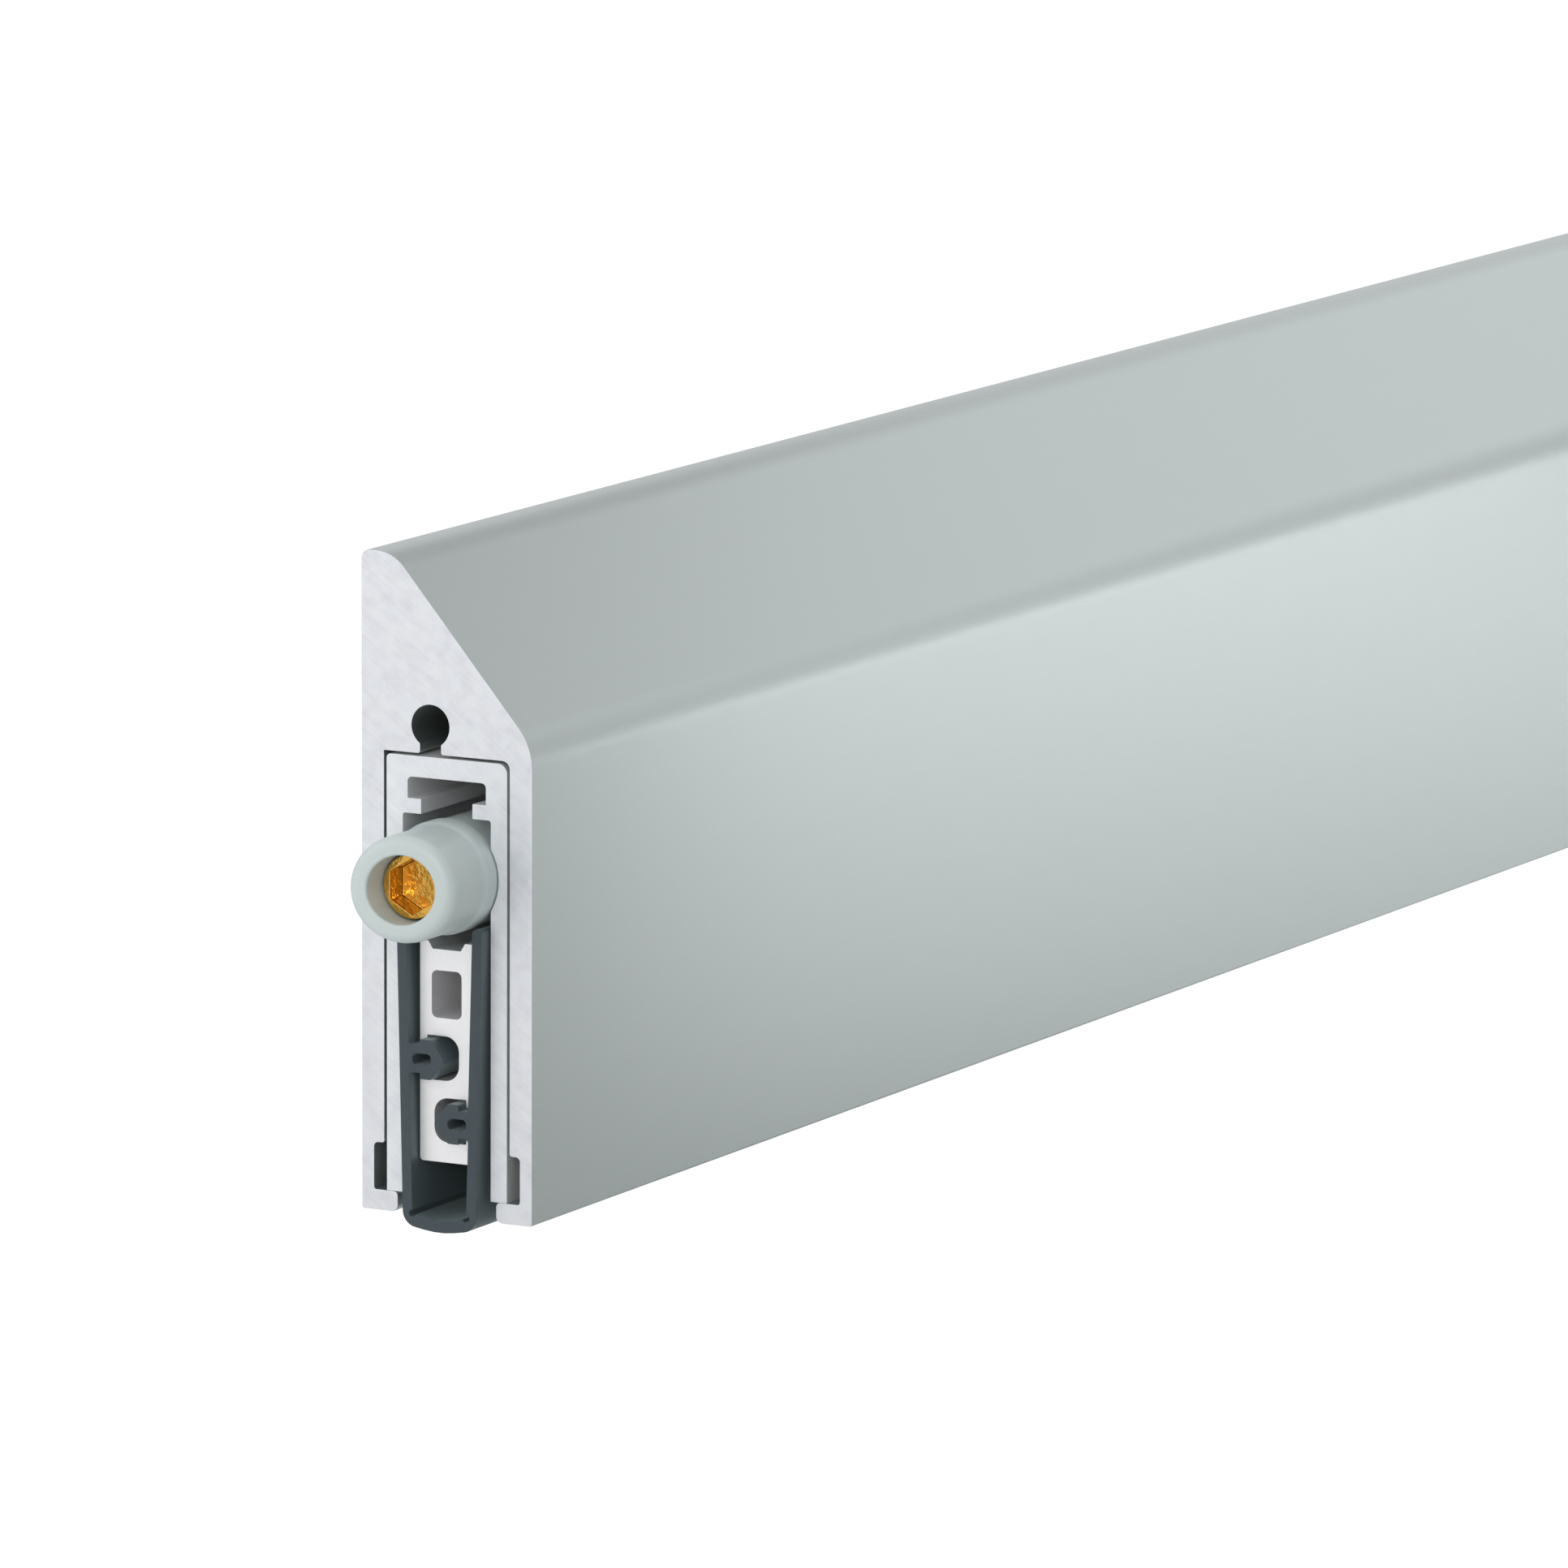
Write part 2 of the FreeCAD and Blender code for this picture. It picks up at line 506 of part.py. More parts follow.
def make_guide(start, length):
    """Moulded block that hangs on the channel's ribs by a head in the T-slot."""
    half = BORE_HALF - GUIDE_SIDE_GAP
    neck = RIB_GAP_HALF - GUIDE_NECK_GAP
    head = SLOT_HALF - GUIDE_NECK_GAP
    head_top = SLOT_FLOOR_Z + GUIDE_HEAD_HEIGHT
    outline = [
        (MID_X - half, GUIDE_BOTTOM_Z, TIP_ROUND),
        (MID_X - half, RIB_BOTTOM_Z, TIP_ROUND),
        (MID_X - neck, RIB_BOTTOM_Z, 0),
        (MID_X - neck, SLOT_FLOOR_Z, 0),
        (MID_X - head, SLOT_FLOOR_Z, EDGE_ROUND),
        (MID_X - head, head_top, EDGE_ROUND),
        (MID_X + head, head_top, EDGE_ROUND),
        (MID_X + head, SLOT_FLOOR_Z, EDGE_ROUND),
        (MID_X + neck, SLOT_FLOOR_Z, 0),
        (MID_X + neck, RIB_BOTTOM_Z, 0),
        (MID_X + half, RIB_BOTTOM_Z, TIP_ROUND),
        (MID_X + half, GUIDE_BOTTOM_Z, TIP_ROUND),
    ]
    return extrusion(outline, start, start + length)


def make_front_guide():
    slot = box(ROD_HALF + ROD_FIT, GUIDE_START, GUIDE_START + GUIDE_LENGTH,
               ROD_LOW_BOTTOM_Z - ROD_FIT, ROD_LOW_TOP_Z + ROD_FIT)
    rivets = [make_guide_rivet(y) for y in guide_rivet_places()]
    return make_guide(GUIDE_START, GUIDE_LENGTH).cut([slot] + rivets)


def make_rear_guide():
    slot = box(ROD_HALF + ROD_FIT, REAR_GUIDE_Y, REAR_GUIDE_Y + GUIDE_LENGTH,
               ROD_HIGH_BOTTOM_Z - ROD_FIT, ROD_HIGH_TOP_Z + ROD_FIT)
    rivets = [make_guide_rivet(y) for y in guide_rivet_places()]
    return make_guide(REAR_GUIDE_Y, GUIDE_LENGTH).cut([slot] + rivets)


def make_seal_guide():
    """Block with an upright slot in which the seal's blade slides, so the seal drops straight."""
    slot = box(ROD_HALF + BLADE_FIT, BLADE_Y - BLADE_FIT,
               BLADE_Y + BLADE_LENGTH + BLADE_FIT, GUIDE_BOTTOM_Z, CHANNEL_TOP_Z)
    rivets = [make_guide_rivet(y) for y in guide_rivet_places()]
    return make_guide(SEAL_GUIDE_Y, SEAL_GUIDE_LENGTH).cut([slot] + rivets)


def guide_rivet_places():
    """Positions along the rail of the rivets that hold the guides to the channel's top."""
    margin = BLADE_FOOT / 2
    return [
        GUIDE_START + GUIDE_LENGTH / 2,
        REAR_GUIDE_Y + GUIDE_LENGTH / 2,
        SEAL_GUIDE_Y + margin,
        SEAL_GUIDE_Y + SEAL_GUIDE_LENGTH - margin,
    ]


def make_guide_rivet(y):
    """Countersunk rivet from the channel's top into a guide."""
    foot = rivet_ring(RIVET_RADIUS, y, CHANNEL_TOP_Z - RIVET_LENGTH)
    neck = rivet_ring(RIVET_RADIUS, y, CHANNEL_TOP_Z - RIVET_HEAD_HEIGHT)
    top = rivet_ring(RIVET_HEAD_RADIUS, y, CHANNEL_TOP_Z)
    return Part.makeLoft([foot, neck, top], True, True)


def rivet_ring(radius, y, z):
    """Outline of a rivet at one height, of ten sides because the rivets are many and hidden."""
    angles = [math.radians(36 * k) for k in range(11)]
    return Part.makePolygon([FreeCAD.Vector(MID_X + radius * math.cos(angle), y + radius * math.sin(angle), z)
                             for angle in angles])


def make_pin(y, z):
    """Pivot pin across the rail with a flat head outside each lever."""
    head_start = ROD_HALF + LEVER_SIDE_GAP + LEVER_THICKNESS + PIN_HEAD_GAP
    half_length = head_start + PIN_HEAD_THICKNESS
    pin = rod_across(PIN_RADIUS, half_length, y, z)
    head = rod_across(PIN_HEAD_RADIUS, half_length, y, z)
    return pin.fuse(head.cut(rod_across(PIN_HEAD_RADIUS, head_start, y, z))).removeSplitter()


def make_lever(pivot_y, side):
    """Lever plate with a round upper eye and a lower eye slotted along the arm."""
    near = ROD_HALF + LEVER_SIDE_GAP
    start = MID_X + near if side > 0 else MID_X - near - LEVER_THICKNESS
    end = start + LEVER_THICKNESS
    slot_start = LEVER_ARM - SLOT_TRAVEL
    arm = slotted_bar(0, LEVER_ARM, LEVER_HALF_WIDTH, start, end)
    eye = slotted_bar(0, 0, PIN_RADIUS + PIN_FIT, start, end)
    slot = slotted_bar(slot_start, LEVER_ARM, PIN_RADIUS + PIN_FIT, start, end)
    lever = arm.cut([eye, slot])
    lever.rotate(FreeCAD.Vector(0, 0, 0), ACROSS, -math.degrees(math.asin(LEVER_RISE / LEVER_ARM)))
    lever.translate(FreeCAD.Vector(0, pivot_y, PIVOT_Z))
    return lever


def slotted_bar(first, last, half_width, start, end):
    """Bar along Y with round ends about two centres, which may be one and the same."""
    thickness = ACROSS * (end - start)
    bar = Part.makeCylinder(half_width, end - start, FreeCAD.Vector(start, first, 0), ACROSS)
    if last > first:
        other = Part.makeCylinder(half_width, end - start, FreeCAD.Vector(start, last, 0), ACROSS)
        corner = FreeCAD.Vector(start, first, -half_width)
        middle = Part.makeBox(thickness.Length, last - first, 2 * half_width, corner)
        bar = bar.fuse([middle, other]).removeSplitter()
    return bar


def make_carrier():
    """Carrier bar: shallow top groove, window along it, and one clip slot to each side."""
    left = MID_X - CARRIER_HALF
    right = MID_X + CARRIER_HALF
    outline = [(left, CARRIER_BOTTOM_Z, CARRIER_ROUND)]
    outline += clip_slot(left, 1, UPPER_CLIP_Z)
    outline += [
        (left, CARRIER_TOP_Z, EDGE_ROUND),
        (MID_X - GROOVE_MOUTH_HALF, CARRIER_TOP_Z, 0),
        (MID_X - GROOVE_FLOOR_HALF, GROOVE_Z, 0),
        (MID_X + GROOVE_FLOOR_HALF, GROOVE_Z, 0),
        (MID_X + GROOVE_MOUTH_HALF, CARRIER_TOP_Z, 0),
        (right, CARRIER_TOP_Z, EDGE_ROUND),
    ]
    outline += reversed(clip_slot(right, -1, LOWER_CLIP_Z))
    outline.append((right, CARRIER_BOTTOM_Z, CARRIER_ROUND))
    window_top = GROOVE_Z - WINDOW_WEB
    window = [
        (MID_X - WINDOW_HALF, window_top - WINDOW_HEIGHT, WINDOW_ROUND),
        (MID_X - WINDOW_HALF, window_top, WINDOW_ROUND),
        (MID_X + WINDOW_HALF, window_top, WINDOW_ROUND),
        (MID_X + WINDOW_HALF, window_top - WINDOW_HEIGHT, WINDOW_ROUND),
    ]
    bar = extrusion(outline, 0, LENGTH).cut(extrusion(window, 0, LENGTH))
    return bar.cut([make_foot_rivet(y) for y in foot_rivet_places()])


def clip_slot(face_x, inward, z):
    """Corners of an undercut slot in the side of the carrier, from its lower to its upper edge."""
    lip_x = face_x + inward * LIP_THICKNESS
    end_x = face_x + inward * CLIP_DEPTH
    corner = CLIP_HEIGHT / 2 - CLIP_CORNER
    return [
        (face_x, z - CLIP_MOUTH / 2, 0),
        (lip_x, z - CLIP_MOUTH / 2, 0),
        (lip_x, z - CLIP_HEIGHT / 2, 0),
        (end_x, z - CLIP_HEIGHT / 2, corner),
        (end_x, z + CLIP_HEIGHT / 2, corner),
        (lip_x, z + CLIP_HEIGHT / 2, 0),
        (lip_x, z + CLIP_MOUTH / 2, 0),
        (face_x, z + CLIP_MOUTH / 2, 0),
    ]


def make_rubber():
    """Rubber seal: tapered legs, a hollow notched sole and an arrow barb inside each leg."""
    start = -RUBBER_OVERHANG
    end = LENGTH + RUBBER_OVERHANG
    floor_z = SOLE_BOTTOM_Z + SOLE_THICKNESS
    corner_z = SOLE_CORNER_Z + SOLE_THICKNESS
    inner_top = RUBBER_TOP_HALF - RUBBER_WALL
    inner_foot = inner_top - RUBBER_TAPER
    outline = [
        (MID_X - RUBBER_TOP_HALF, RUBBER_TOP_Z, RUBBER_TIP_ROUND),
        (MID_X - RUBBER_FOOT_HALF, SOLE_CORNER_Z, SOLE_CORNER_ROUND),
        (MID_X, SOLE_BOTTOM_Z, SOLE_ROUND_RATIO * RUBBER_FOOT_HALF),
        (MID_X + RUBBER_FOOT_HALF, SOLE_CORNER_Z, SOLE_CORNER_ROUND),
        (MID_X + RUBBER_TOP_HALF, RUBBER_TOP_Z, RUBBER_TIP_ROUND),
        (MID_X + inner_top, RUBBER_TOP_Z, RUBBER_TIP_ROUND),
    ]
    outline += barb(MID_X + leg_inside(LOWER_CLIP_Z), MID_X + CARRIER_HALF, -1, LOWER_CLIP_Z)
    outline += [
        (MID_X + inner_foot, corner_z, SOLE_INNER_ROUND),
        (MID_X, floor_z, SOLE_ROUND_RATIO * inner_foot),
        (MID_X - inner_foot, corner_z, SOLE_INNER_ROUND),
    ]
    outline += reversed(barb(MID_X - leg_inside(UPPER_CLIP_Z), MID_X - CARRIER_HALF, 1, UPPER_CLIP_Z))
    outline.append((MID_X - inner_top, RUBBER_TOP_Z, RUBBER_TIP_ROUND))
    upper_x = MID_X - CARRIER_HALF + LIP_THICKNESS + BARB_SHOULDER - BARB_HOLE_LENGTH / 2
    lower_x = MID_X + CARRIER_HALF - LIP_THICKNESS - BARB_SHOULDER + BARB_HOLE_LENGTH / 2
    seal = extrusion(outline, start, end)
    for hole_x, hole_z in ((upper_x, UPPER_CLIP_Z), (lower_x, LOWER_CLIP_Z)):
        half_length = BARB_HOLE_LENGTH / 2
        half_height = BARB_HOLE_HEIGHT / 2
        corner = BARB_HOLE_ROUND_RATIO * half_height
        hole = [
            (hole_x - half_length, hole_z - half_height, corner),
            (hole_x - half_length, hole_z + half_height, corner),
            (hole_x + half_length, hole_z + half_height, corner),
            (hole_x + half_length, hole_z - half_height, corner),
        ]
        seal = seal.cut(extrusion(hole, start, end))
    notches = [rod_along(SOLE_NOTCH_RADIUS, start, end, x, corner_z)
               for x in (MID_X - inner_foot, MID_X + inner_foot)]
    return seal.cut(notches)


def leg_inside(z):
    """Half the width between the rubber's legs at that height."""
    share = (RUBBER_TOP_Z - z) / (RUBBER_TOP_Z - SOLE_CORNER_Z - SOLE_THICKNESS)
    return RUBBER_TOP_HALF - RUBBER_WALL - share * RUBBER_TAPER


def barb(leg_x, face_x, inward, z):
    """Corners of an arrow barb from its upper to its lower edge; it bears on the clip's lips."""
    lip_x = face_x + inward * LIP_THICKNESS
    shoulder_x = lip_x + inward * BARB_SHOULDER
    tip_x = lip_x + inward * BARB_LENGTH
    return [
        (leg_x, z + BARB_STEM / 2, EDGE_ROUND),
        (lip_x, z + BARB_STEM / 2, 0),
        (lip_x, z + BARB_HEIGHT / 2, BARB_SHOULDER / 9),
        (shoulder_x, z + BARB_HEIGHT / 2, BARB_SHOULDER / 3),
        (tip_x, z, BARB_TIP_ROUND),
        (shoulder_x, z - BARB_HEIGHT / 2, BARB_SHOULDER / 3),
        (lip_x, z - BARB_HEIGHT / 2, BARB_SHOULDER / 9),
        (lip_x, z - BARB_STEM / 2, 0),
        (leg_x, z - BARB_STEM / 2, EDGE_ROUND),
    ]


def make_bracket(pin_y):
    """Bracket in the carrier's groove that holds a lower pivot pin."""
    half = BRACKET_LENGTH / 2
    foot = BRACKET_FOOT_LENGTH / 2
    foot_z = GROOVE_Z + BRACKET_FOOT_HEIGHT
    outline = [
        (pin_y - foot, GROOVE_Z, 0),
        (pin_y - foot, foot_z, EDGE_ROUND),
        (pin_y - half, foot_z, EDGE_ROUND),
        (pin_y - half, LOWER_PIN_Z + BRACKET_ABOVE_PIN, BRACKET_ROUND),
        (pin_y + half, LOWER_PIN_Z + BRACKET_ABOVE_PIN, BRACKET_ROUND),
        (pin_y + half, foot_z, EDGE_ROUND),
        (pin_y + foot, foot_z, EDGE_ROUND),
        (pin_y + foot, GROOVE_Z, 0),
    ]
    bracket = plate(outline, MID_X - ROD_HALF, MID_X + ROD_HALF)
    rivets = [make_foot_rivet(y) for y in foot_rivet_places()]
    return bracket.cut(rivets + [make_pin(pin_y, LOWER_PIN_Z)])


def make_blade():
    """Upright blade on the carrier that slides in the seal guide."""
    foot_z = GROOVE_Z + BRACKET_FOOT_HEIGHT
    outline = [
        (BLADE_Y - BLADE_FOOT, GROOVE_Z, 0),
        (BLADE_Y - BLADE_FOOT, foot_z, EDGE_ROUND),
        (BLADE_Y, foot_z, 0),
        (BLADE_Y, SLOT_TOP_Z - BLADE_TOP_GAP, BLADE_ROUND),
        (BLADE_Y + BLADE_LENGTH, SLOT_TOP_Z - BLADE_TOP_GAP, BLADE_ROUND),
        (BLADE_Y + BLADE_LENGTH, foot_z, 0),
        (BLADE_Y + BLADE_LENGTH + BLADE_FOOT, foot_z, EDGE_ROUND),
        (BLADE_Y + BLADE_LENGTH + BLADE_FOOT, GROOVE_Z, 0),
    ]
    blade = plate(outline, MID_X - ROD_HALF, MID_X + ROD_HALF)
    return blade.cut([make_foot_rivet(y) for y in foot_rivet_places()])


def foot_rivet_places():
    """Positions along the rail of the rivets in the feet of the brackets and the blade."""
    reach = BRACKET_FOOT_LENGTH / 2 - FOOT_RIVET_INSET
    places = [BLADE_Y - BLADE_FOOT / 2, BLADE_Y + BLADE_LENGTH + BLADE_FOOT / 2]
    for pivot_y in (FRONT_PIVOT_Y, REAR_PIVOT_Y):
        places += [pivot_y + LEVER_SPAN - reach, pivot_y + LEVER_SPAN + reach]
    return places


def make_foot_rivet(y):
    """Rivet through a bracket's foot and the carrier's web, with a head at each end."""
    web_z = GROOVE_Z - WINDOW_WEB
    foot_z = GROOVE_Z + BRACKET_FOOT_HEIGHT
    low_z = web_z - FOOT_RIVET_HEAD_HEIGHT
    pieces = []
    for radius, start_z, end_z in ((FOOT_RIVET_HEAD, low_z, web_z),
                                   (FOOT_RIVET_RADIUS, web_z, foot_z),
                                   (FOOT_RIVET_HEAD, foot_z, foot_z + FOOT_RIVET_HEAD_HEIGHT)):
        outline = Part.Face(rivet_ring(radius, y, start_z))
        pieces.append(outline.extrude(UP * (end_z - start_z)))
    return pieces[0].fuse(pieces[1:])


os.makedirs("parts", exist_ok=True)
stations = {"front": FRONT_PIVOT_Y, "rear": REAR_PIVOT_Y}

save("housing_profile", make_housing())
save("inner_channel", make_channel())
save("front_rod_guide", make_front_guide())
save("rear_rod_guide", make_rear_guide())
save("seal_guide_block", make_seal_guide())
save("guide_rivets", *[make_guide_rivet(y) for y in guide_rivet_places()])
save("return_spring", make_spring())

save("release_button", make_button())
save("adjusting_screw", make_screw())
save("screw_retainer", make_retainer())
save("rod_sleeve", make_sleeve())
save("sleeve_pin", make_sleeve_pin())
save("push_rod", make_rod())
save("upper_pivot_pins", *[make_pin(y, PIVOT_Z) for y in stations.values()])

for name, pivot_y in stations.items():
    save(name + "_lever_left", make_lever(pivot_y, -1))
    save(name + "_lever_right", make_lever(pivot_y, 1))
    save(name + "_lever_bracket", make_bracket(pivot_y + LEVER_SPAN))

save("lower_pivot_pins", *[make_pin(y + LEVER_SPAN, LOWER_PIN_Z) for y in stations.values()])
save("guide_blade", make_blade())
save("bracket_rivets", *[make_foot_rivet(y) for y in foot_rivet_places()])
save("seal_carrier", make_carrier())
save("seal_profile", make_rubber())
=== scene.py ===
import json
import math

import bpy
from mathutils import Matrix, Vector


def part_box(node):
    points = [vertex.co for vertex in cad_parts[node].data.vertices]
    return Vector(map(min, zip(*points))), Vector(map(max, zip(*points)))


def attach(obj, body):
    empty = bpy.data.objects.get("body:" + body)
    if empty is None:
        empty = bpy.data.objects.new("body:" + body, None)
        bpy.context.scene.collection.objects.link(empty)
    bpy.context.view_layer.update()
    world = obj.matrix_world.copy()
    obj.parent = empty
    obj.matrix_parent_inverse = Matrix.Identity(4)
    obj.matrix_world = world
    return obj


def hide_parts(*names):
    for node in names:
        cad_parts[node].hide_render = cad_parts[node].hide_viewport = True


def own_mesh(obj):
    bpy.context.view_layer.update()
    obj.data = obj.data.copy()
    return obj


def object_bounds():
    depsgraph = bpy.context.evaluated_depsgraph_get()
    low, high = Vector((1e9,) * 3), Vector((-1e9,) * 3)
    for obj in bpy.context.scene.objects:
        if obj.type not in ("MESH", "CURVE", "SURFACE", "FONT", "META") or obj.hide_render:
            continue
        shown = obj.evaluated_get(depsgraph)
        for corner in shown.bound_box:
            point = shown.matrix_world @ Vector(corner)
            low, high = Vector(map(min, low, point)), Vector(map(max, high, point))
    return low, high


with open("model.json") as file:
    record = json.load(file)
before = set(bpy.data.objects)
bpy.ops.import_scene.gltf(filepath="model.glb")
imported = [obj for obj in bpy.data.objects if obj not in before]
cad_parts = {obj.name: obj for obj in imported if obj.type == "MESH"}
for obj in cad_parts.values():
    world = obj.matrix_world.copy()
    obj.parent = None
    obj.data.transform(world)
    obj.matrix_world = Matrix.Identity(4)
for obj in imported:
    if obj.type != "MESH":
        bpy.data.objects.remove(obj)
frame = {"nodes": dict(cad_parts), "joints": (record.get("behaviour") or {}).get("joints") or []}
cad_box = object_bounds()


# Outer rail: one aluminium extrusion with a wedge top and a screw port, natural anodised.
# It is sawn to length after anodising, so both ends show bare metal with fine saw marks,
# and the sawn edges are broken with a file.
MM = 0.001
RAIL_SKIN = (0.545, 0.60, 0.595, 1)
RAIL_CUT = (0.78, 0.80, 0.835, 1)
RAIL_EDGE = 0.07 * MM
SAW_DEPTH = 0.01 * MM
SAW_MOTTLE = 0.9
rail_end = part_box("housing_profile")[1].y


def select_only(piece):
    bpy.ops.object.select_all(action="DESELECT")
    piece.select_set(True)
    bpy.context.view_layer.objects.active = piece


def select_sharp_edges(angle):
    """In edit mode, selects only the edges that turn by more than an angle in degrees."""
    bpy.ops.mesh.select_mode(type="EDGE")
    bpy.ops.mesh.select_all(action="DESELECT")
    bpy.ops.mesh.edges_select_sharp(sharpness=math.radians(angle))


def shade_flat_faces_flat(piece):
    """Smooth shading that follows the large faces, so the broken edges carry the rounding."""
    smooth_below = math.radians(30)
    largest_face_leads = 100
    select_only(piece)
    bpy.ops.object.shade_smooth_by_angle(angle=smooth_below)
    weighted = piece.modifiers.new("weighted", "WEIGHTED_NORMAL")
    weighted.mode = "FACE_AREA"
    weighted.weight = largest_face_leads
    weighted.keep_sharp = True
    bpy.ops.object.modifier_apply(modifier="weighted")


def dressed_copy(node, name, edge, sharp=40, steps=2):
    """A copy of a node's solid with its triangles joined and its sharp edges broken."""
    same_point = 0.0005 * MM
    same_plane = math.radians(0.5)
    edge_fullness = 0.6
    piece = bpy.data.objects.new(name, frame["nodes"][node].data.copy())
    bpy.context.scene.collection.objects.link(piece)
    piece.data.materials.clear()
    select_only(piece)
    bpy.ops.object.mode_set(mode="EDIT")
    bpy.ops.mesh.select_mode(type="VERT")
    bpy.ops.mesh.select_all(action="SELECT")
    bpy.ops.mesh.remove_doubles(threshold=same_point)
    bpy.ops.mesh.customdata_custom_splitnormals_clear()
    bpy.ops.mesh.dissolve_limited(angle_limit=same_plane)
    select_sharp_edges(sharp)
    bpy.ops.mesh.bevel(offset=edge, segments=steps, profile=edge_fullness, clamp_overlap=False)
    bpy.ops.object.mode_set(mode="OBJECT")
    shade_flat_faces_flat(piece)
    return piece


def stand_for(piece, node, body):
    """Puts a piece on its body and in its node's place."""
    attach(piece, body)
    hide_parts(node)


def shader_of(material):
    return material.node_tree.nodes["Principled BSDF"]


def new_material(name, roughness, metallic):
    material = bpy.data.materials.new(name)
    material.use_nodes = True
    shader_of(material).inputs["Roughness"].default_value = roughness
    shader_of(material).inputs["Metallic"].default_value = metallic
    return material


def object_place(tree):
    """The object coordinates, which keep a pattern in place on its piece."""
    return tree.nodes.new("ShaderNodeTexCoord").outputs["Object"]


def set_or_link(tree, socket, value):
    """Sets a socket to a constant, or links it where the value is another node's output."""
    if isinstance(value, (int, float, tuple)):
        socket.default_value = value
    else:
        tree.links.new(value, socket)


def math_node(tree, operation, first, second):
    node = tree.nodes.new("ShaderNodeMath")
    node.operation = operation
    set_or_link(tree, node.inputs[0], first)
    set_or_link(tree, node.inputs[1], second)
    return node.outputs[0]


def swing(tree, noise, middle, amount):
    """How far a noise departs from its middle, times an amount."""
    return math_node(tree, "MULTIPLY", math_node(tree, "SUBTRACT", noise, middle), amount)


def mix_colours(tree, share, first, second):
    """Mixes two colours. Of the Mix node's many sockets, those for colours are 6, 7 and, out, 2."""
    node = tree.nodes.new("ShaderNodeMix")
    node.data_type = "RGBA"
    set_or_link(tree, node.inputs[0], share)
    set_or_link(tree, node.inputs[6], first)
    set_or_link(tree, node.inputs[7], second)
    return node.outputs[2]


def stretched_noise(tree, place, stretch, scale, turn=0.0):
    """Noise drawn out along an axis, as drawing, rolling or sawing leaves it."""
    fine_octaves = 4
    mapping = tree.nodes.new("ShaderNodeMapping")
    mapping.vector_type = "TEXTURE"
    mapping.inputs["Scale"].default_value = stretch
    mapping.inputs["Rotation"].default_value = (0, turn, 0)
    noise = tree.nodes.new("ShaderNodeTexNoise")
    noise.inputs["Scale"].default_value = scale
    noise.inputs["Detail"].default_value = fine_octaves
    tree.links.new(place, mapping.inputs["Vector"])
    tree.links.new(mapping.outputs["Vector"], noise.inputs["Vector"])
    return noise.outputs[0]


def finish_group(name, settings):
    """A node group that takes a place and some settings, and puts out a surface's finish."""
    group = bpy.data.node_groups.new(name, "ShaderNodeTree")
    group.interface.new_socket("Place", in_out="INPUT", socket_type="NodeSocketVector")
    for setting, kind in settings.items():
        group.interface.new_socket(setting, in_out="INPUT", socket_type=kind)
    group.interface.new_socket("Colour", in_out="OUTPUT", socket_type="NodeSocketColor")
    group.interface.new_socket("Roughness", in_out="OUTPUT", socket_type="NodeSocketFloat")
    group.interface.new_socket("Height", in_out="OUTPUT", socket_type="NodeSocketFloat")
    return group, group.nodes.new("NodeGroupInput").outputs


def put_out(group, colour, roughness, height):
    result = group.nodes.new("NodeGroupOutput")
    group.links.new(colour, result.inputs["Colour"])
    group.links.new(roughness, result.inputs["Roughness"])
    group.links.new(height, result.inputs["Height"])


def feed_from_group(material, group, settings, depth, strength):
    """Feeds a material's colour, roughness and relief from a group with the material's settings."""
    tree = material.node_tree
    shader = shader_of(material)
    finish = tree.nodes.new("ShaderNodeGroup")
    finish.node_tree = group
    for setting, value in settings.items():
        finish.inputs[setting].default_value = value
    relief = tree.nodes.new("ShaderNodeBump")
    relief.inputs["Distance"].default_value = depth
    relief.inputs["Strength"].default_value = strength
    tree.links.new(object_place(tree), finish.inputs["Place"])
    tree.links.new(finish.outputs["Colour"], shader.inputs["Base Color"])
    tree.links.new(finish.outputs["Roughness"], shader.inputs["Roughness"])
    tree.links.new(finish.outputs["Height"], relief.inputs["Height"])
    tree.links.new(relief.outputs["Normal"], shader.inputs["Normal"])


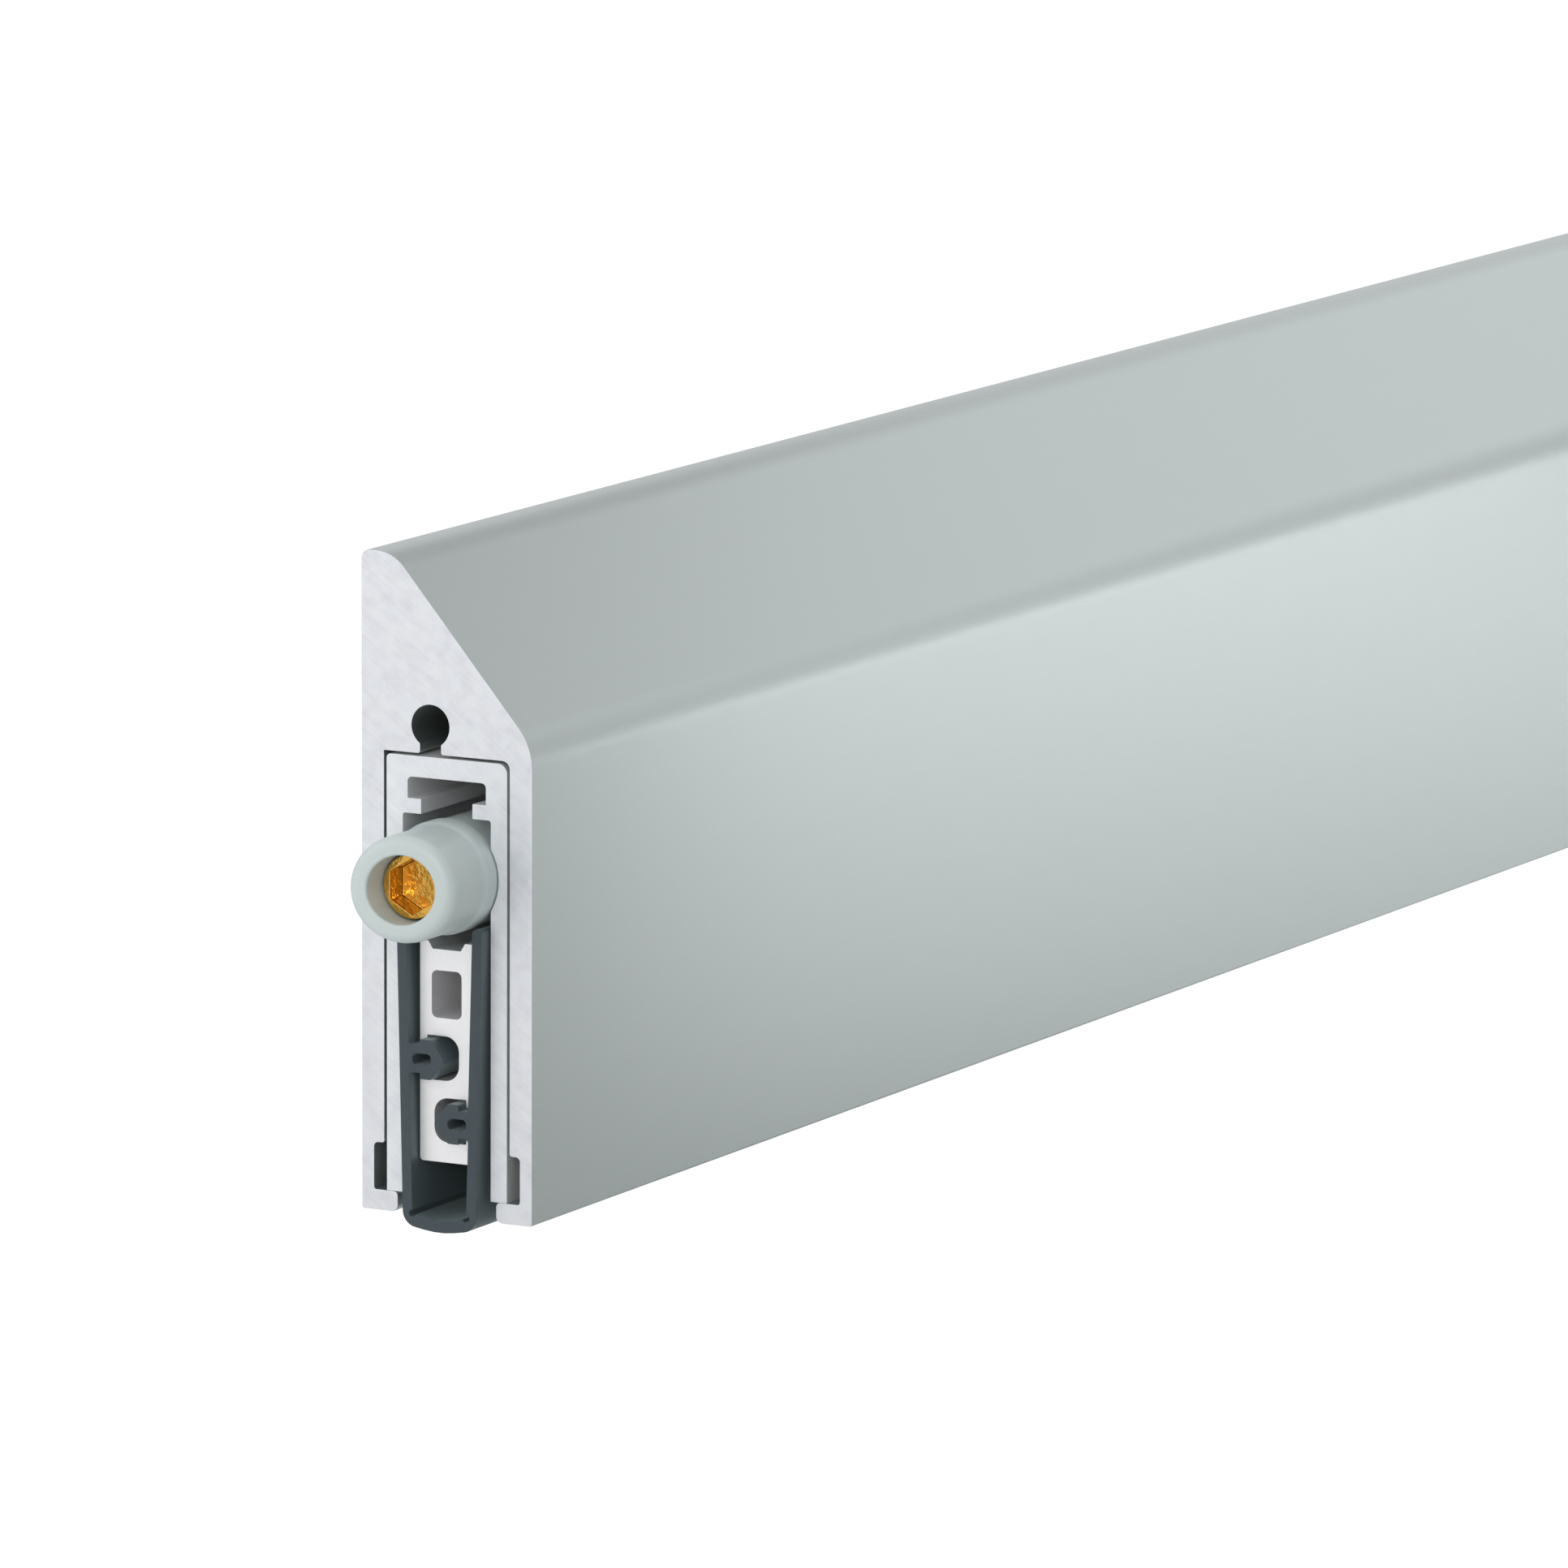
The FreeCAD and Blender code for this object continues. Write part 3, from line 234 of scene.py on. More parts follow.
def make_sawn_end():
    """Group that finds a bar's sawn ends and puts the saw's scratches on them."""
    end_depth = 0.03 * MM
    dark_stain = (0.55, 0.55, 0.6, 1)
    bright_scratch = (0.93, 0.93, 0.94, 1)
    drawn_grey = (0.5, 0.5, 0.5, 1)
    drawn_amount = 0.12
    stain_start = 0.4
    scratch_start = 0.35
    group, given = finish_group("sawn_end", {
        "Bar End": "NodeSocketFloat", "Skin": "NodeSocketColor", "Bare Metal": "NodeSocketColor",
        "Skin Roughness": "NodeSocketFloat", "Cut Roughness": "NodeSocketFloat",
        "Mottle": "NodeSocketFloat"})
    along = group.nodes.new("ShaderNodeSeparateXYZ")
    group.links.new(given["Place"], along.inputs[0])
    from_middle = math_node(group, "ABSOLUTE", along.outputs["Y"], 0)
    inside = math_node(group, "SUBTRACT", given["Bar End"], end_depth)
    is_end = math_node(group, "GREATER_THAN", from_middle, inside)
    scratches = stretched_noise(group, given["Place"], stretch=(4, 1, 0.3), scale=1500,
                                turn=math.radians(35))
    stains = stretched_noise(group, given["Place"], stretch=(1, 1, 1), scale=900)
    drawn = stretched_noise(group, given["Place"], stretch=(1, 50, 1), scale=900)
    stain_share = swing(group, stains, stain_start, given["Mottle"])
    stained_metal = mix_colours(group, stain_share, given["Bare Metal"], dark_stain)
    scratch_share = swing(group, scratches, scratch_start, given["Mottle"])
    cut_colour = mix_colours(group, scratch_share, stained_metal, bright_scratch)
    drawn_share = math_node(group, "MULTIPLY", drawn, drawn_amount)
    skin_colour = mix_colours(group, drawn_share, given["Skin"], drawn_grey)
    colour = mix_colours(group, is_end, skin_colour, cut_colour)
    rough_change = swing(group, scratches, middle=0.5, amount=0.3)
    cut_rough = math_node(group, "ADD", given["Cut Roughness"], rough_change)
    rough_step = math_node(group, "SUBTRACT", cut_rough, given["Skin Roughness"])
    end_step = math_node(group, "MULTIPLY", is_end, rough_step)
    roughness = math_node(group, "ADD", given["Skin Roughness"], end_step)
    cut_height = math_node(group, "MULTIPLY", is_end, scratches)
    height = math_node(group, "ADD", cut_height, drawn_share)
    put_out(group, colour, roughness, height)
    return group


sawn_end = make_sawn_end()


def bar_material(name, bar_end, skin, cut, skin_roughness, cut_roughness, depth, metallic, mottle):
    """Extruded aluminium with its own skin and sawn ends."""
    material = new_material(name, skin_roughness, metallic)
    settings = {"Bar End": bar_end, "Skin": skin, "Bare Metal": cut, "Skin Roughness": skin_roughness,
                "Cut Roughness": cut_roughness, "Mottle": mottle}
    feed_from_group(material, sawn_end, settings, depth, strength=0.5)
    return material


rail = dressed_copy("housing_profile", "outer_rail", RAIL_EDGE)
rail.data.materials.append(bar_material(
    "anodised_rail", rail_end, RAIL_SKIN, RAIL_CUT, skin_roughness=0.42, cut_roughness=0.5,
    depth=SAW_DEPTH, metallic=1.0, mottle=SAW_MOTTLE))
stand_for(rail, "housing_profile", "rail")


# Inner channel: a second extrusion that stands in the rail on its two flanges. It has a T-slot
# under its top for the guides, is left as it came from the press, and is sawn with the rail.
CHANNEL_SKIN = (0.74, 0.74, 0.75, 1)
CHANNEL_CUT = (0.76, 0.79, 0.82, 1)
CHANNEL_EDGE = 0.06 * MM
channel = dressed_copy("inner_channel", "channel", CHANNEL_EDGE)
channel.data.materials.append(bar_material(
    "pressed_channel", rail_end, CHANNEL_SKIN, CHANNEL_CUT, skin_roughness=0.55, cut_roughness=0.5,
    depth=SAW_DEPTH, metallic=0.45, mottle=SAW_MOTTLE))
stand_for(channel, "inner_channel", "rail")


# Guides: three moulded black blocks that hang in the channel's T-slot. Two lead the push rod,
# the third leads the seal's blade, and each is riveted through the channel's top.
GUIDE_BLACK = (0.022, 0.022, 0.024, 1)
GUIDE_BLOOM = (0.08, 0.08, 0.08, 1)
GUIDE_EDGE = 0.12 * MM


def make_fine_grain():
    """Group for moulded and rubber surfaces: a lighter bloom and a small relief."""
    group, given = finish_group("fine_grain", {
        "Base": "NodeSocketColor", "Bloom": "NodeSocketColor", "Bloom Share": "NodeSocketFloat",
        "Mean Roughness": "NodeSocketFloat"})
    cloud = stretched_noise(group, given["Place"], stretch=(1, 3, 1), scale=350)
    grain = stretched_noise(group, given["Place"], stretch=(1, 1, 1), scale=4500)
    bloom_share = math_node(group, "MULTIPLY", cloud, given["Bloom Share"])
    colour = mix_colours(group, bloom_share, given["Base"], given["Bloom"])
    rough_change = swing(group, cloud, middle=0.5, amount=0.25)
    roughness = math_node(group, "ADD", given["Mean Roughness"], rough_change)
    put_out(group, colour, roughness, height=grain)
    return group


fine_grain = make_fine_grain()


def grained_material(name, colour, bloom, bloom_share, roughness, depth):
    material = new_material(name, roughness, metallic=0.0)
    settings = {"Base": colour, "Bloom": bloom, "Bloom Share": bloom_share, "Mean Roughness": roughness}
    feed_from_group(material, fine_grain, settings, depth, strength=0.4)
    return material


guide_plastic = grained_material("guide_plastic", GUIDE_BLACK, GUIDE_BLOOM, bloom_share=0.3,
                                 roughness=0.45, depth=0.01 * MM)
for node in ("front_rod_guide", "rear_rod_guide", "seal_guide_block"):
    guide = dressed_copy(node, node + "_moulded", GUIDE_EDGE)
    guide.data.materials.append(guide_plastic)
    stand_for(guide, node, "rail")


# Rivets of the guides: four countersunk aluminium rivets, set from the channel's top.
# Their heads are turned and a little dull.
RIVET_GREY = (0.7, 0.7, 0.71, 1)
RIVET_DULL = (0.45, 0.45, 0.46, 1)


def make_worn_metal():
    """Group for small metal parts: clouding of the colour and the roughness, and a fine relief."""
    relief_octaves = 2
    relief_fineness = 4
    cloud_octaves = 5
    dull_amount = 0.35
    group, given = finish_group("worn_metal", {
        "Base": "NodeSocketColor", "Dull": "NodeSocketColor", "Mean Roughness": "NodeSocketFloat",
        "Scale": "NodeSocketFloat"})
    relief = group.nodes.new("ShaderNodeTexNoise")
    relief.inputs["Detail"].default_value = relief_octaves
    relief_scale = math_node(group, "MULTIPLY", given["Scale"], relief_fineness)
    group.links.new(given["Place"], relief.inputs["Vector"])
    group.links.new(relief_scale, relief.inputs["Scale"])
    cloud = group.nodes.new("ShaderNodeTexNoise")
    cloud.inputs["Detail"].default_value = cloud_octaves
    group.links.new(given["Place"], cloud.inputs["Vector"])
    group.links.new(given["Scale"], cloud.inputs["Scale"])
    dull_share = math_node(group, "MULTIPLY", cloud.outputs[0], dull_amount)
    colour = mix_colours(group, dull_share, given["Base"], given["Dull"])
    rough_change = swing(group, cloud.outputs[0], middle=0.5, amount=0.3)
    roughness = math_node(group, "ADD", given["Mean Roughness"], rough_change)
    put_out(group, colour, roughness, height=relief.outputs[0])
    return group


worn_metal = make_worn_metal()


def metal_material(name, colour, dull, roughness, scale, depth=0.005 * MM):
    material = new_material(name, roughness, metallic=1.0)
    settings = {"Base": colour, "Dull": dull, "Mean Roughness": roughness, "Scale": scale}
    feed_from_group(material, worn_metal, settings, depth, strength=1.0)
    return material


def paint_node(node, material):
    """Gives a node that stays as it is its finish."""
    mesh = frame["nodes"][node].data
    mesh.materials.clear()
    mesh.materials.append(material)


rivet_aluminium = metal_material("rivet_aluminium", RIVET_GREY, RIVET_DULL, roughness=0.34, scale=700)
paint_node("guide_rivets", rivet_aluminium)


# Push rod and what is fixed to it: a flat cranked bar of zinc-plated steel, the upper pivot pins
# riveted over at both ends, and the cross pin that holds the sleeve.
ZINC = (0.55, 0.56, 0.58, 1)
ZINC_DULL = (0.36, 0.37, 0.4, 1)
zinc_steel = metal_material("zinc_steel", ZINC, ZINC_DULL, roughness=0.32, scale=450)
for node in ("push_rod", "sleeve_pin", "upper_pivot_pins"):
    paint_node(node, zinc_steel)


# Threaded sleeve: turned brass, tapped for the adjusting screw, with a collar for the spring.
# The cross pin holds it on the rod's end, and the screw is of the same brass.
BRASS = (0.82, 0.46, 0.09, 1)
BRASS_DULL = (0.4, 0.16, 0.02, 1)
turned_brass = metal_material("turned_brass", BRASS, BRASS_DULL, roughness=0.14, scale=500,
                              depth=0.07 * MM)
paint_node("rod_sleeve", turned_brass)


# Return spring: a coil of drawn steel wire over the sleeve, between its collar and the front
# guide. It is pressed together when the button goes in.
WIRE_RADIUS = 0.35 * MM
WIRE_SIDES = 14
WIRE_GREY = (0.5, 0.5, 0.51, 1)
WIRE_DULL = (0.3, 0.3, 0.31, 1)
SPRING_TURNS = 5.5
COIL_STEPS = 40
SHARP_DEGREES = 50
QUARTER_TURN = math.radians(90)
spring_low, spring_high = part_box("return_spring")
sleeve_low, sleeve_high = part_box("rod_sleeve")
button_axis = (sleeve_low + sleeve_high) / 2
coil_radius = (sleeve_high.x - sleeve_low.x) / 2 - WIRE_RADIUS
spring_length = spring_high.y - spring_low.y
coil_pitch = (spring_length - 2 * WIRE_RADIUS) / SPRING_TURNS


def upright_outline(name, corners, radius, middle, spin=0.0):
    """A closed outline that stands upright beside the Z axis, ready to be swept round it."""
    bpy.ops.object.select_all(action="DESELECT")
    bpy.ops.mesh.primitive_circle_add(vertices=corners, radius=radius, fill_type="NOTHING",
                                      location=middle)
    outline = bpy.context.object
    outline.name = name
    bpy.ops.object.mode_set(mode="EDIT")
    bpy.ops.mesh.select_all(action="SELECT")
    if spin:
        bpy.ops.transform.rotate(value=spin, orient_axis="Z", center_override=middle)
    bpy.ops.transform.rotate(value=QUARTER_TURN, orient_axis="X", center_override=middle)
    bpy.ops.object.mode_set(mode="OBJECT")
    bpy.ops.object.transform_apply(location=True, rotation=True, scale=True)
    return outline


def sweep_helix(piece, turns, pitch, steps):
    """Sweeps a closed outline round Z into a coil and closes both its ends."""
    select_only(piece)
    helix = piece.modifiers.new("helix", "SCREW")
    helix.axis = "Z"
    helix.angle = 2 * math.pi * turns
    helix.screw_offset = turns * pitch
    helix.steps = round(steps * turns)
    helix.render_steps = helix.steps
    bpy.ops.object.modifier_apply(modifier="helix")
    bpy.ops.object.mode_set(mode="EDIT")
    bpy.ops.mesh.select_all(action="DESELECT")
    bpy.ops.mesh.select_mode(type="EDGE")
    bpy.ops.mesh.select_non_manifold()
    bpy.ops.mesh.edge_face_add()
    bpy.ops.mesh.select_all(action="SELECT")
    bpy.ops.mesh.normals_make_consistent(inside=False)
    bpy.ops.object.mode_set(mode="OBJECT")


def lay_on_button_axis(piece, start):
    """Lays a piece that stands on Z along the button's axis, from a place on the rail's length."""
    laid = Matrix.Rotation(-QUARTER_TURN, 4, "X")
    piece.data.transform(Matrix.Translation((button_axis.x, start, button_axis.z)) @ laid)


def travel_of(name):
    """How far a sliding joint goes."""
    joint = next(joint for joint in frame["joints"] if joint["name"] == name)
    return joint["range_m"][1]


spring = upright_outline("coil_spring", corners=WIRE_SIDES, radius=WIRE_RADIUS,
                         middle=(coil_radius, 0, 0))
sweep_helix(spring, SPRING_TURNS, coil_pitch, COIL_STEPS)
lay_on_button_axis(spring, spring_low.y + WIRE_RADIUS)
bpy.ops.object.shade_smooth_by_angle(angle=math.radians(SHARP_DEGREES))
spring.data.materials.append(
    metal_material("spring_wire", WIRE_GREY, WIRE_DULL, roughness=0.28, scale=900))
stand_for(spring, "return_spring", "rail")
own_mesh(spring)


# Release button: moulded in pale grey plastic, with a round nose that the door frame presses
# and a flat-sided shank in the channel. A recess leads the key to the adjusting screw.
BUTTON_GREY = (0.54, 0.615, 0.605, 1)
BUTTON_BLOOM = (0.58, 0.64, 0.63, 1)
BUTTON_EDGE = 0.09 * MM
NOSE_REACH = 7.5 * MM
NOSE_SLANT = 0.2
NOSE_ROUND = 0.8 * MM
NOSE_JOIN = 3.0 * MM
NOSE_SPARE = 1.0 * MM
NOSE_RADIUS = 3.92 * MM
RECESS_EDGE = 0.2 * MM
RIM_MIDDLE = 3.2 * MM
RIM_TOLERANCE = 0.005 * MM
ARC = 0.5
CUTTER = 20 * MM
slant = math.atan(NOSE_SLANT)
nose_normal = Vector((-math.sin(slant), math.cos(slant), 0))
nose_middle = Vector((button_axis.x, NOSE_SLANT * NOSE_RADIUS - rail_end - NOSE_REACH, button_axis.z))


def cut_away(piece, cutter):
    """Cuts one piece out of another and leaves the first."""
    select_only(piece)
    cut = piece.modifiers.new("cut", "BOOLEAN")
    cut.operation = "DIFFERENCE"
    cut.solver = "EXACT"
    cut.object = cutter
    bpy.ops.object.modifier_apply(modifier="cut")
    bpy.data.objects.remove(cutter)


def round_rim(piece, nearest, furthest, width, steps):
    """Rounds the nose's sharp front edges that lie between two distances from its axis."""
    select_only(piece)
    bpy.ops.object.mode_set(mode="EDIT")
    select_sharp_edges(SHARP_DEGREES)
    bpy.ops.object.mode_set(mode="OBJECT")
    sharp_edges = [edge.index for edge in piece.data.edges if edge.select]
    bpy.ops.object.mode_set(mode="EDIT")
    bpy.ops.mesh.select_all(action="DESELECT")
    bpy.ops.object.mode_set(mode="OBJECT")
    for sharp_edge in sharp_edges:
        edge = piece.data.edges[sharp_edge]
        ends = [piece.data.vertices[corner].co for corner in edge.vertices]
        on_front = all(abs((end - nose_middle).dot(nose_normal)) < RIM_TOLERANCE for end in ends)
        reach = min(math.hypot(end.x - button_axis.x, end.z - button_axis.z) for end in ends)
        edge.select = on_front and nearest < reach < furthest
    bpy.ops.object.mode_set(mode="EDIT")
    bpy.ops.mesh.bevel(offset=width, segments=steps, profile=ARC, clamp_overlap=False)
    bpy.ops.object.mode_set(mode="OBJECT")


# The nose is cut off at its join, drawn out past its reach and cut again at its slant.
button = dressed_copy("release_button", "button", BUTTON_EDGE, sharp=20, steps=3)
select_only(button)
bpy.ops.object.mode_set(mode="EDIT")
bpy.ops.mesh.select_all(action="SELECT")
bpy.ops.mesh.bisect(plane_co=(0, -rail_end - NOSE_JOIN, 0), plane_no=(0, 1, 0), clear_inner=True)
bpy.ops.mesh.extrude_edges_move(
    TRANSFORM_OT_translate={"value": (0, NOSE_JOIN - NOSE_REACH - NOSE_SPARE, 0)})
bpy.ops.mesh.bridge_edge_loops()
bpy.ops.mesh.select_all(action="SELECT")
bpy.ops.mesh.normals_make_consistent(inside=False)
bpy.ops.object.mode_set(mode="OBJECT")
bpy.ops.object.select_all(action="DESELECT")
bpy.ops.mesh.primitive_cube_add(size=CUTTER, location=nose_middle - nose_normal * CUTTER / 2,
                                rotation=(0, 0, slant))
cut_away(button, bpy.context.object)
round_rim(button, RIM_MIDDLE, CUTTER, NOSE_ROUND, steps=6)
round_rim(button, 0, RIM_MIDDLE, RECESS_EDGE, steps=3)
shade_flat_faces_flat(button)
button.data.materials.append(grained_material(
    "button_plastic", BUTTON_GREY, BUTTON_BLOOM, bloom_share=0.25, roughness=0.38, depth=0.004 * MM))
stand_for(button, "release_button", "button")


# Adjusting screw: turned brass with a hexagon socket in its head, threaded behind the steel
# ring that is pressed on it. The ring lies behind the button's web, so the screw takes the
# button in and out.
HEAD_LENGTH = 2.4 * MM
HEAD_EDGE = 0.1 * MM
HEX_ACROSS_FLATS = 3.5 * MM
HEX_DEPTH = 1.8 * MM
DRILL_RADIUS = 0.48 * HEX_ACROSS_FLATS
DRILL_SIDES = 48
DRILL_OVERLAP = 0.05 * MM
SHANK_RADIUS = 1.5 * MM
SHANK_SIDES = 40
PLAIN_SHANK = 12.5 * MM
THREAD_PITCH = 0.5 * MM
THREAD_DEPTH = 0.25 * MM
THREAD_FILL = 0.92
THREAD_STEPS = 24
screw_low, screw_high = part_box("adjusting_screw")
head_radius = (screw_high.x - screw_low.x) / 2
screw_length = screw_high.y - screw_low.y
thread_start = HEAD_LENGTH + PLAIN_SHANK
thread_side = THREAD_FILL * THREAD_PITCH
thread_reach = thread_side / math.sqrt(3)
thread_turns = math.floor((screw_length - thread_start - 2 * thread_side) / THREAD_PITCH)


def turned_rod(name, radius, start, end, sides=64):
    """A cylinder along Z from start to end."""
    bpy.ops.object.select_all(action="DESELECT")
    bpy.ops.mesh.primitive_cylinder_add(vertices=sides, radius=radius, depth=end - start,
                                        location=(0, 0, (start + end) / 2))
    rod = bpy.context.object
    rod.name = name
    bpy.ops.object.transform_apply(location=True, rotation=True, scale=True)
    return rod


def break_edges(piece, width):
    select_only(piece)
    bpy.ops.object.mode_set(mode="EDIT")
    select_sharp_edges(SHARP_DEGREES)
    bpy.ops.mesh.bevel(offset=width, segments=2, profile=ARC)
    bpy.ops.object.mode_set(mode="OBJECT")


# The head has a hexagon socket that ends in the point of the drill.
screw = turned_rod("hex_screw", head_radius, 0, HEAD_LENGTH)
hex_reach = HEX_ACROSS_FLATS / math.sqrt(3)
cut_away(screw, turned_rod("hex_cutter", hex_reach, -HEX_DEPTH, HEX_DEPTH, sides=6))
bpy.ops.object.select_all(action="DESELECT")
bpy.ops.mesh.primitive_cone_add(vertices=DRILL_SIDES, radius1=DRILL_RADIUS,
                                depth=HEAD_LENGTH - HEX_DEPTH,
                                location=(0, 0, (HEX_DEPTH + HEAD_LENGTH) / 2 - DRILL_OVERLAP))
cut_away(screw, bpy.context.object)
break_edges(screw, HEAD_EDGE)

# The thread is a three-sided ridge that is swept along the core behind the plain shank.
shank = turned_rod("screw_shank", SHANK_RADIUS, HEAD_LENGTH, thread_start, SHANK_SIDES)
core = turned_rod("screw_core", SHANK_RADIUS - THREAD_DEPTH, thread_start, screw_length, SHANK_SIDES)
thread_middle = (SHANK_RADIUS - thread_reach, 0, thread_start + thread_side)
thread = upright_outline("screw_thread", corners=3, radius=thread_reach, middle=thread_middle,
                         spin=QUARTER_TURN)
sweep_helix(thread, thread_turns, THREAD_PITCH, THREAD_STEPS)
select_only(screw)
for part in (shank, core, thread):
    part.select_set(True)
bpy.ops.object.join()
lay_on_button_axis(screw, screw_low.y)
shade_flat_faces_flat(screw)
screw.data.materials.clear()
screw.data.materials.append(turned_brass)
stand_for(screw, "adjusting_screw", "screw")
paint_node("screw_retainer", zinc_steel)


# Levers: two pairs of punched steel plates, zinc plated. Each turns on a pin of the rod, and
# a slot in its lower eye takes a pin of the seal's bracket.
for node in ("front_lever_left", "front_lever_right", "rear_lever_left", "rear_lever_right"):
    paint_node(node, zinc_steel)


# Seal carrier: a bright aluminium bar with a window along it and a clip slot in each side.
# The brackets and the blade stand in its top groove and are riveted through its web.
CARRIER_SKIN = (0.8, 0.8, 0.81, 1)
CARRIER_CUT = (0.93, 0.93, 0.94, 1)
CARRIER_EDGE = 0.05 * MM
carrier = dressed_copy("seal_carrier", "carrier_bar", CARRIER_EDGE)
carrier_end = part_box("seal_carrier")[1].y
carrier.data.materials.append(bar_material(
    "bright_bar", carrier_end, CARRIER_SKIN, CARRIER_CUT, skin_roughness=0.5, cut_roughness=0.42,
    depth=0.003 * MM, metallic=0.5, mottle=0.25))
stand_for(carrier, "seal_carrier", "seal")
for node in ("front_lever_bracket", "rear_lever_bracket", "guide_blade", "lower_pivot_pins"):
    paint_node(node, zinc_steel)
paint_node("bracket_rivets", rivet_aluminium)


# Rubber seal: extruded in slate grey rubber and cut a little longer than the rail. Its barbs
# are pushed into the carrier's clip slots, and its hollow sole meets the floor.
SLATE = (0.026, 0.040, 0.052, 1)
SLATE_BLOOM = (0.08, 0.105, 0.12, 1)
SLATE_SHEEN = (0.75, 0.92, 0.9, 1)
SHEEN_WEIGHT = 0.3
SEAL_EDGE = 0.06 * MM
seal = dressed_copy("seal_profile", "rubber_seal", SEAL_EDGE)
slate_rubber = grained_material("slate_rubber", SLATE, SLATE_BLOOM, bloom_share=0.3, roughness=0.46,
                                depth=0.006 * MM)
shader_of(slate_rubber).inputs["Sheen Weight"].default_value = SHEEN_WEIGHT
shader_of(slate_rubber).inputs["Sheen Tint"].default_value = SLATE_SHEEN
seal.data.materials.append(slate_rubber)
stand_for(seal, "seal_profile", "seal")


# Studio: a white floor under the lowered seal in white surroundings. Soft lights stand on the
# left, beside the camera and behind, and a fourth lights a patch of floor that the metal mirrors,
# as it does three cards out of sight. A long lens looks from the photograph's angle.
FLOOR_GAP = 0.3 * MM
FLOOR_SIZE = 40
FLOOR_GREY = (0.9, 0.9, 0.9, 1)
SEEN_FLOOR_STRENGTH = 1.05
WORLD_STRENGTH = 0.82
SEEN_WORLD_EXTRA = 0.25
MATT = 0.9
CARD_GREY = (0.42, 0.42, 0.42, 1)
GRADE_DARK = (0.54, 0.54, 0.54, 1)
GRADE_LIGHT = (0.97, 0.97, 0.97, 1)
GRADE_START = -0.18
GRADE_END = -0.095
FLOOR_LIGHT_SPREAD = math.radians(60)
CAMERA_PLACE = (0.444536, -0.936505, 0.160367)
CAMERA_AZIMUTH = 28.079
CAMERA_ELEVATION = 9.795
CAMERA_ROLL = 0.254
LENS = 288.84
SENSOR = 36
floor_z = cad_box[0].z - travel_of("seal_drop") - FLOOR_GAP

white_floor = new_material("white_floor", MATT, metallic=0.0)
floor_tree = white_floor.node_tree
shader_of(white_floor).inputs["Base Color"].default_value = FLOOR_GREY
seen_white = floor_tree.nodes.new("ShaderNodeEmission")
seen_white.inputs["Strength"].default_value = SEEN_FLOOR_STRENGTH
ray = floor_tree.nodes.new("ShaderNodeLightPath")
choose = floor_tree.nodes.new("ShaderNodeMixShader")
floor_tree.links.new(ray.outputs["Is Camera Ray"], choose.inputs[0])
floor_tree.links.new(shader_of(white_floor).outputs[0], choose.inputs[1])
floor_tree.links.new(seen_white.outputs[0], choose.inputs[2])
floor_tree.links.new(choose.outputs[0], floor_tree.nodes["Material Output"].inputs["Surface"])
bpy.ops.object.select_all(action="DESELECT")
bpy.ops.mesh.primitive_plane_add(size=FLOOR_SIZE, location=(0, 0, floor_z))
floor = bpy.context.object
floor.name = "studio_floor"
floor.data.materials.append(white_floor)

plain_card = new_material("plain_card", MATT, metallic=0.0)
shader_of(plain_card).inputs["Base Color"].default_value = CARD_GREY
graded_card = new_material("graded_card", MATT, metallic=0.0)
card_tree = graded_card.node_tree
along = card_tree.nodes.new("ShaderNodeSeparateXYZ")
grade = card_tree.nodes.new("ShaderNodeMapRange")
grade.interpolation_type = "SMOOTHSTEP"
grade.inputs["From Min"].default_value = GRADE_START
grade.inputs["From Max"].default_value = GRADE_END
card_tree.links.new(object_place(card_tree), along.inputs[0])
card_tree.links.new(along.outputs["Y"], grade.inputs["Value"])
grey_to_white = mix_colours(card_tree, grade.outputs[0], GRADE_DARK, GRADE_LIGHT)
card_tree.links.new(grey_to_white, shader_of(graded_card).inputs["Base Color"])


def mirrored_card(name, place, turn, size, material):
    """A card out of the camera's sight that the metal mirrors, as photographers use them."""
    bpy.ops.object.select_all(action="DESELECT")
    bpy.ops.mesh.primitive_plane_add(size=1, location=place, rotation=turn)
    card = bpy.context.object
    card.name = name
    card.scale = (size[0], size[1], 1)
    bpy.ops.object.transform_apply(location=True, rotation=True, scale=True)
    card.data.materials.append(material)
    card.visible_camera = False


